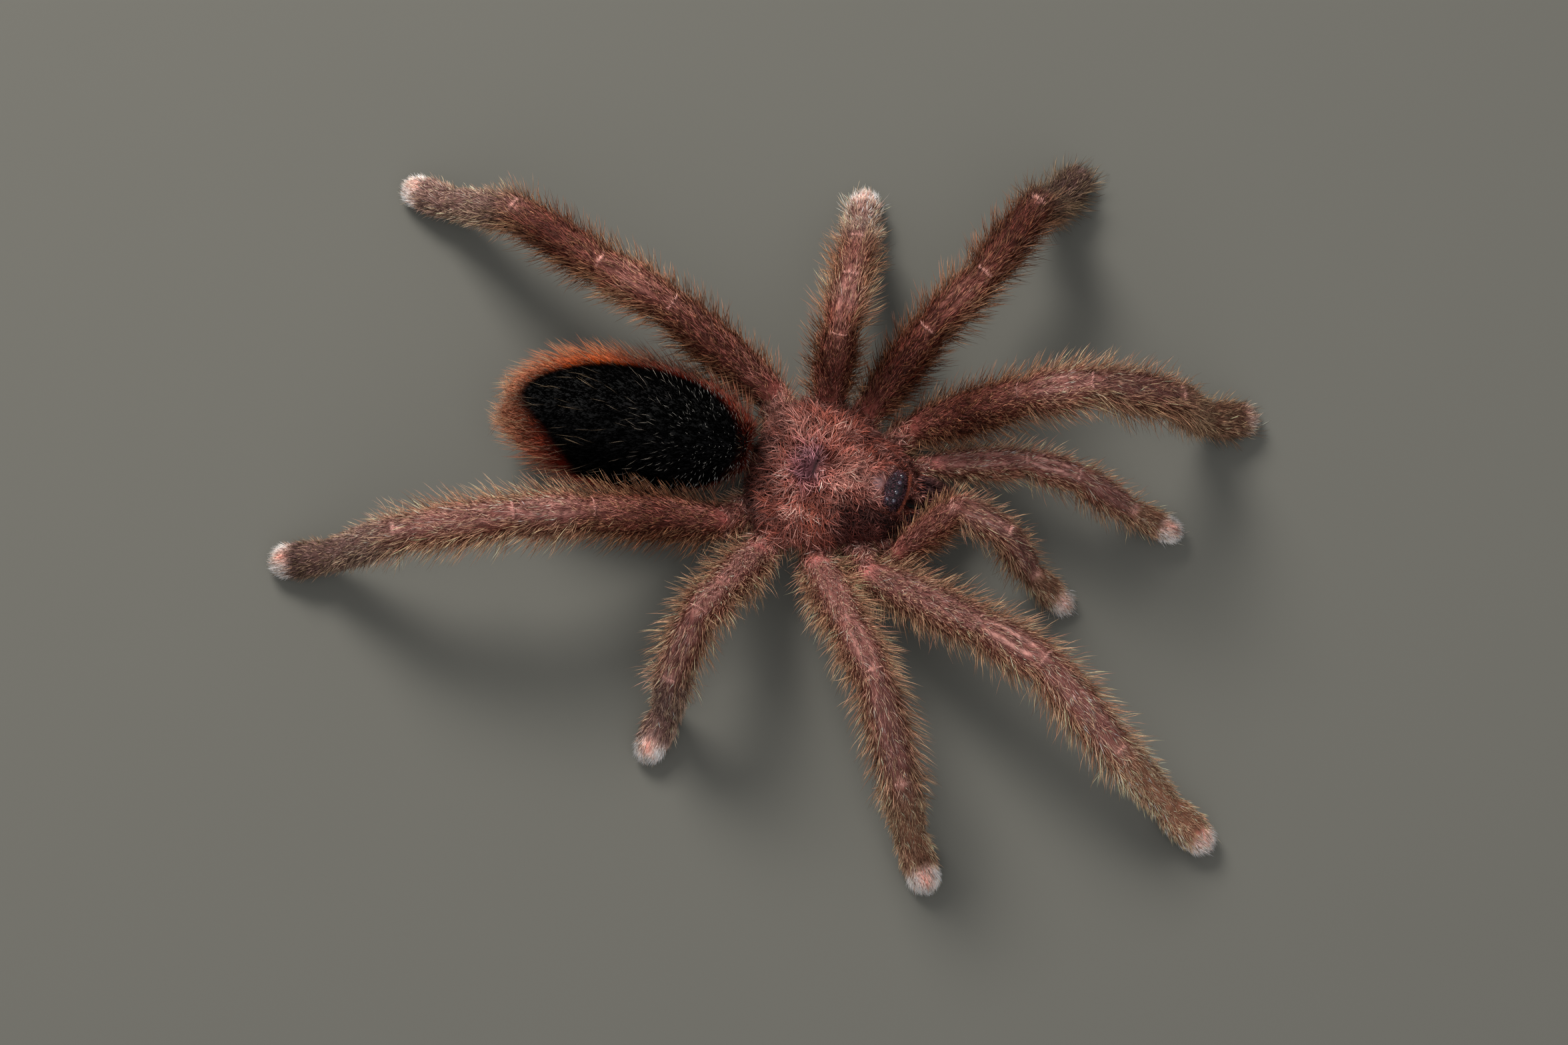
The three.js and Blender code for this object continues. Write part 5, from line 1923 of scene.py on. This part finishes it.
class TARANTULA_OT_abdomen_coat(bpy.types.Operator):
    """Covers the abdomen with black velvet, a bright fringe and sparse pale hairs"""
    bl_idname = "tarantula.abdomen_coat"
    bl_label = "Abdomen coat"

    def execute(self, context):
        chosen = is_part(made_skin().part, "abdomen")
        velvet = hair_material("abdomen_velvet", 1.0, 0.0, 0.2)
        fringe = hair_material("abdomen_fringe", 0.5, 0.3, 0.2)
        coat = Coat(context)
        add_velvet(coat, chosen, 401)
        coat.build("abdomen_velvet", velvet)
        coat = Coat(context)
        add_fringe(coat, chosen, 411)
        add_pale_hairs(coat, chosen, 421)
        coat.build("abdomen_fringe", fringe)
        return {"FINISHED"}


class TARANTULA_PT_panel(bpy.types.Panel):
    """Lists the steps that dress the tarantula"""
    bl_idname = "TARANTULA_PT_panel"
    bl_label = "Tarantula"
    bl_space_type = "VIEW_3D"
    bl_region_type = "UI"
    bl_category = "Tarantula"

    def draw(self, context):
        for operator in OPERATORS:
            self.layout.operator(operator.bl_idname)
        for name in SETTINGS:
            settings = getattr(context.scene, name)
            box = self.layout.box()
            for key in settings.__annotations__:
                box.prop(settings, key)


OPERATORS = (TARANTULA_OT_stage, TARANTULA_OT_skin, TARANTULA_OT_eyes, TARANTULA_OT_horn,
             TARANTULA_OT_leg_coat, TARANTULA_OT_body_coat, TARANTULA_OT_abdomen_coat)
SETTINGS = {
    "tarantula_skin": TarantulaSkinSettings,
    "tarantula_coat": TarantulaCoatSettings,
    "tarantula_colours": TarantulaColours,
    "tarantula_stage": TarantulaStageSettings,
}


def register():
    """Makes the settings, the steps and the panel known."""
    for name, group in SETTINGS.items():
        bpy.utils.register_class(group)
        setattr(bpy.types.Scene, name, PointerProperty(type=group))
    for operator in OPERATORS:
        bpy.utils.register_class(operator)
    bpy.utils.register_class(TARANTULA_PT_panel)


def unregister():
    """Takes all that register made known away again."""
    bpy.utils.unregister_class(TARANTULA_PT_panel)
    for operator in reversed(OPERATORS):
        bpy.utils.unregister_class(operator)
    for name, group in SETTINGS.items():
        delattr(bpy.types.Scene, name)
        bpy.utils.unregister_class(group)


def main():
    """Takes the steps in order."""
    register()
    for operator in OPERATORS:
        group, name = operator.bl_idname.split(".")
        getattr(getattr(bpy.ops, group), name)()


if __name__ == "__main__":
    main()
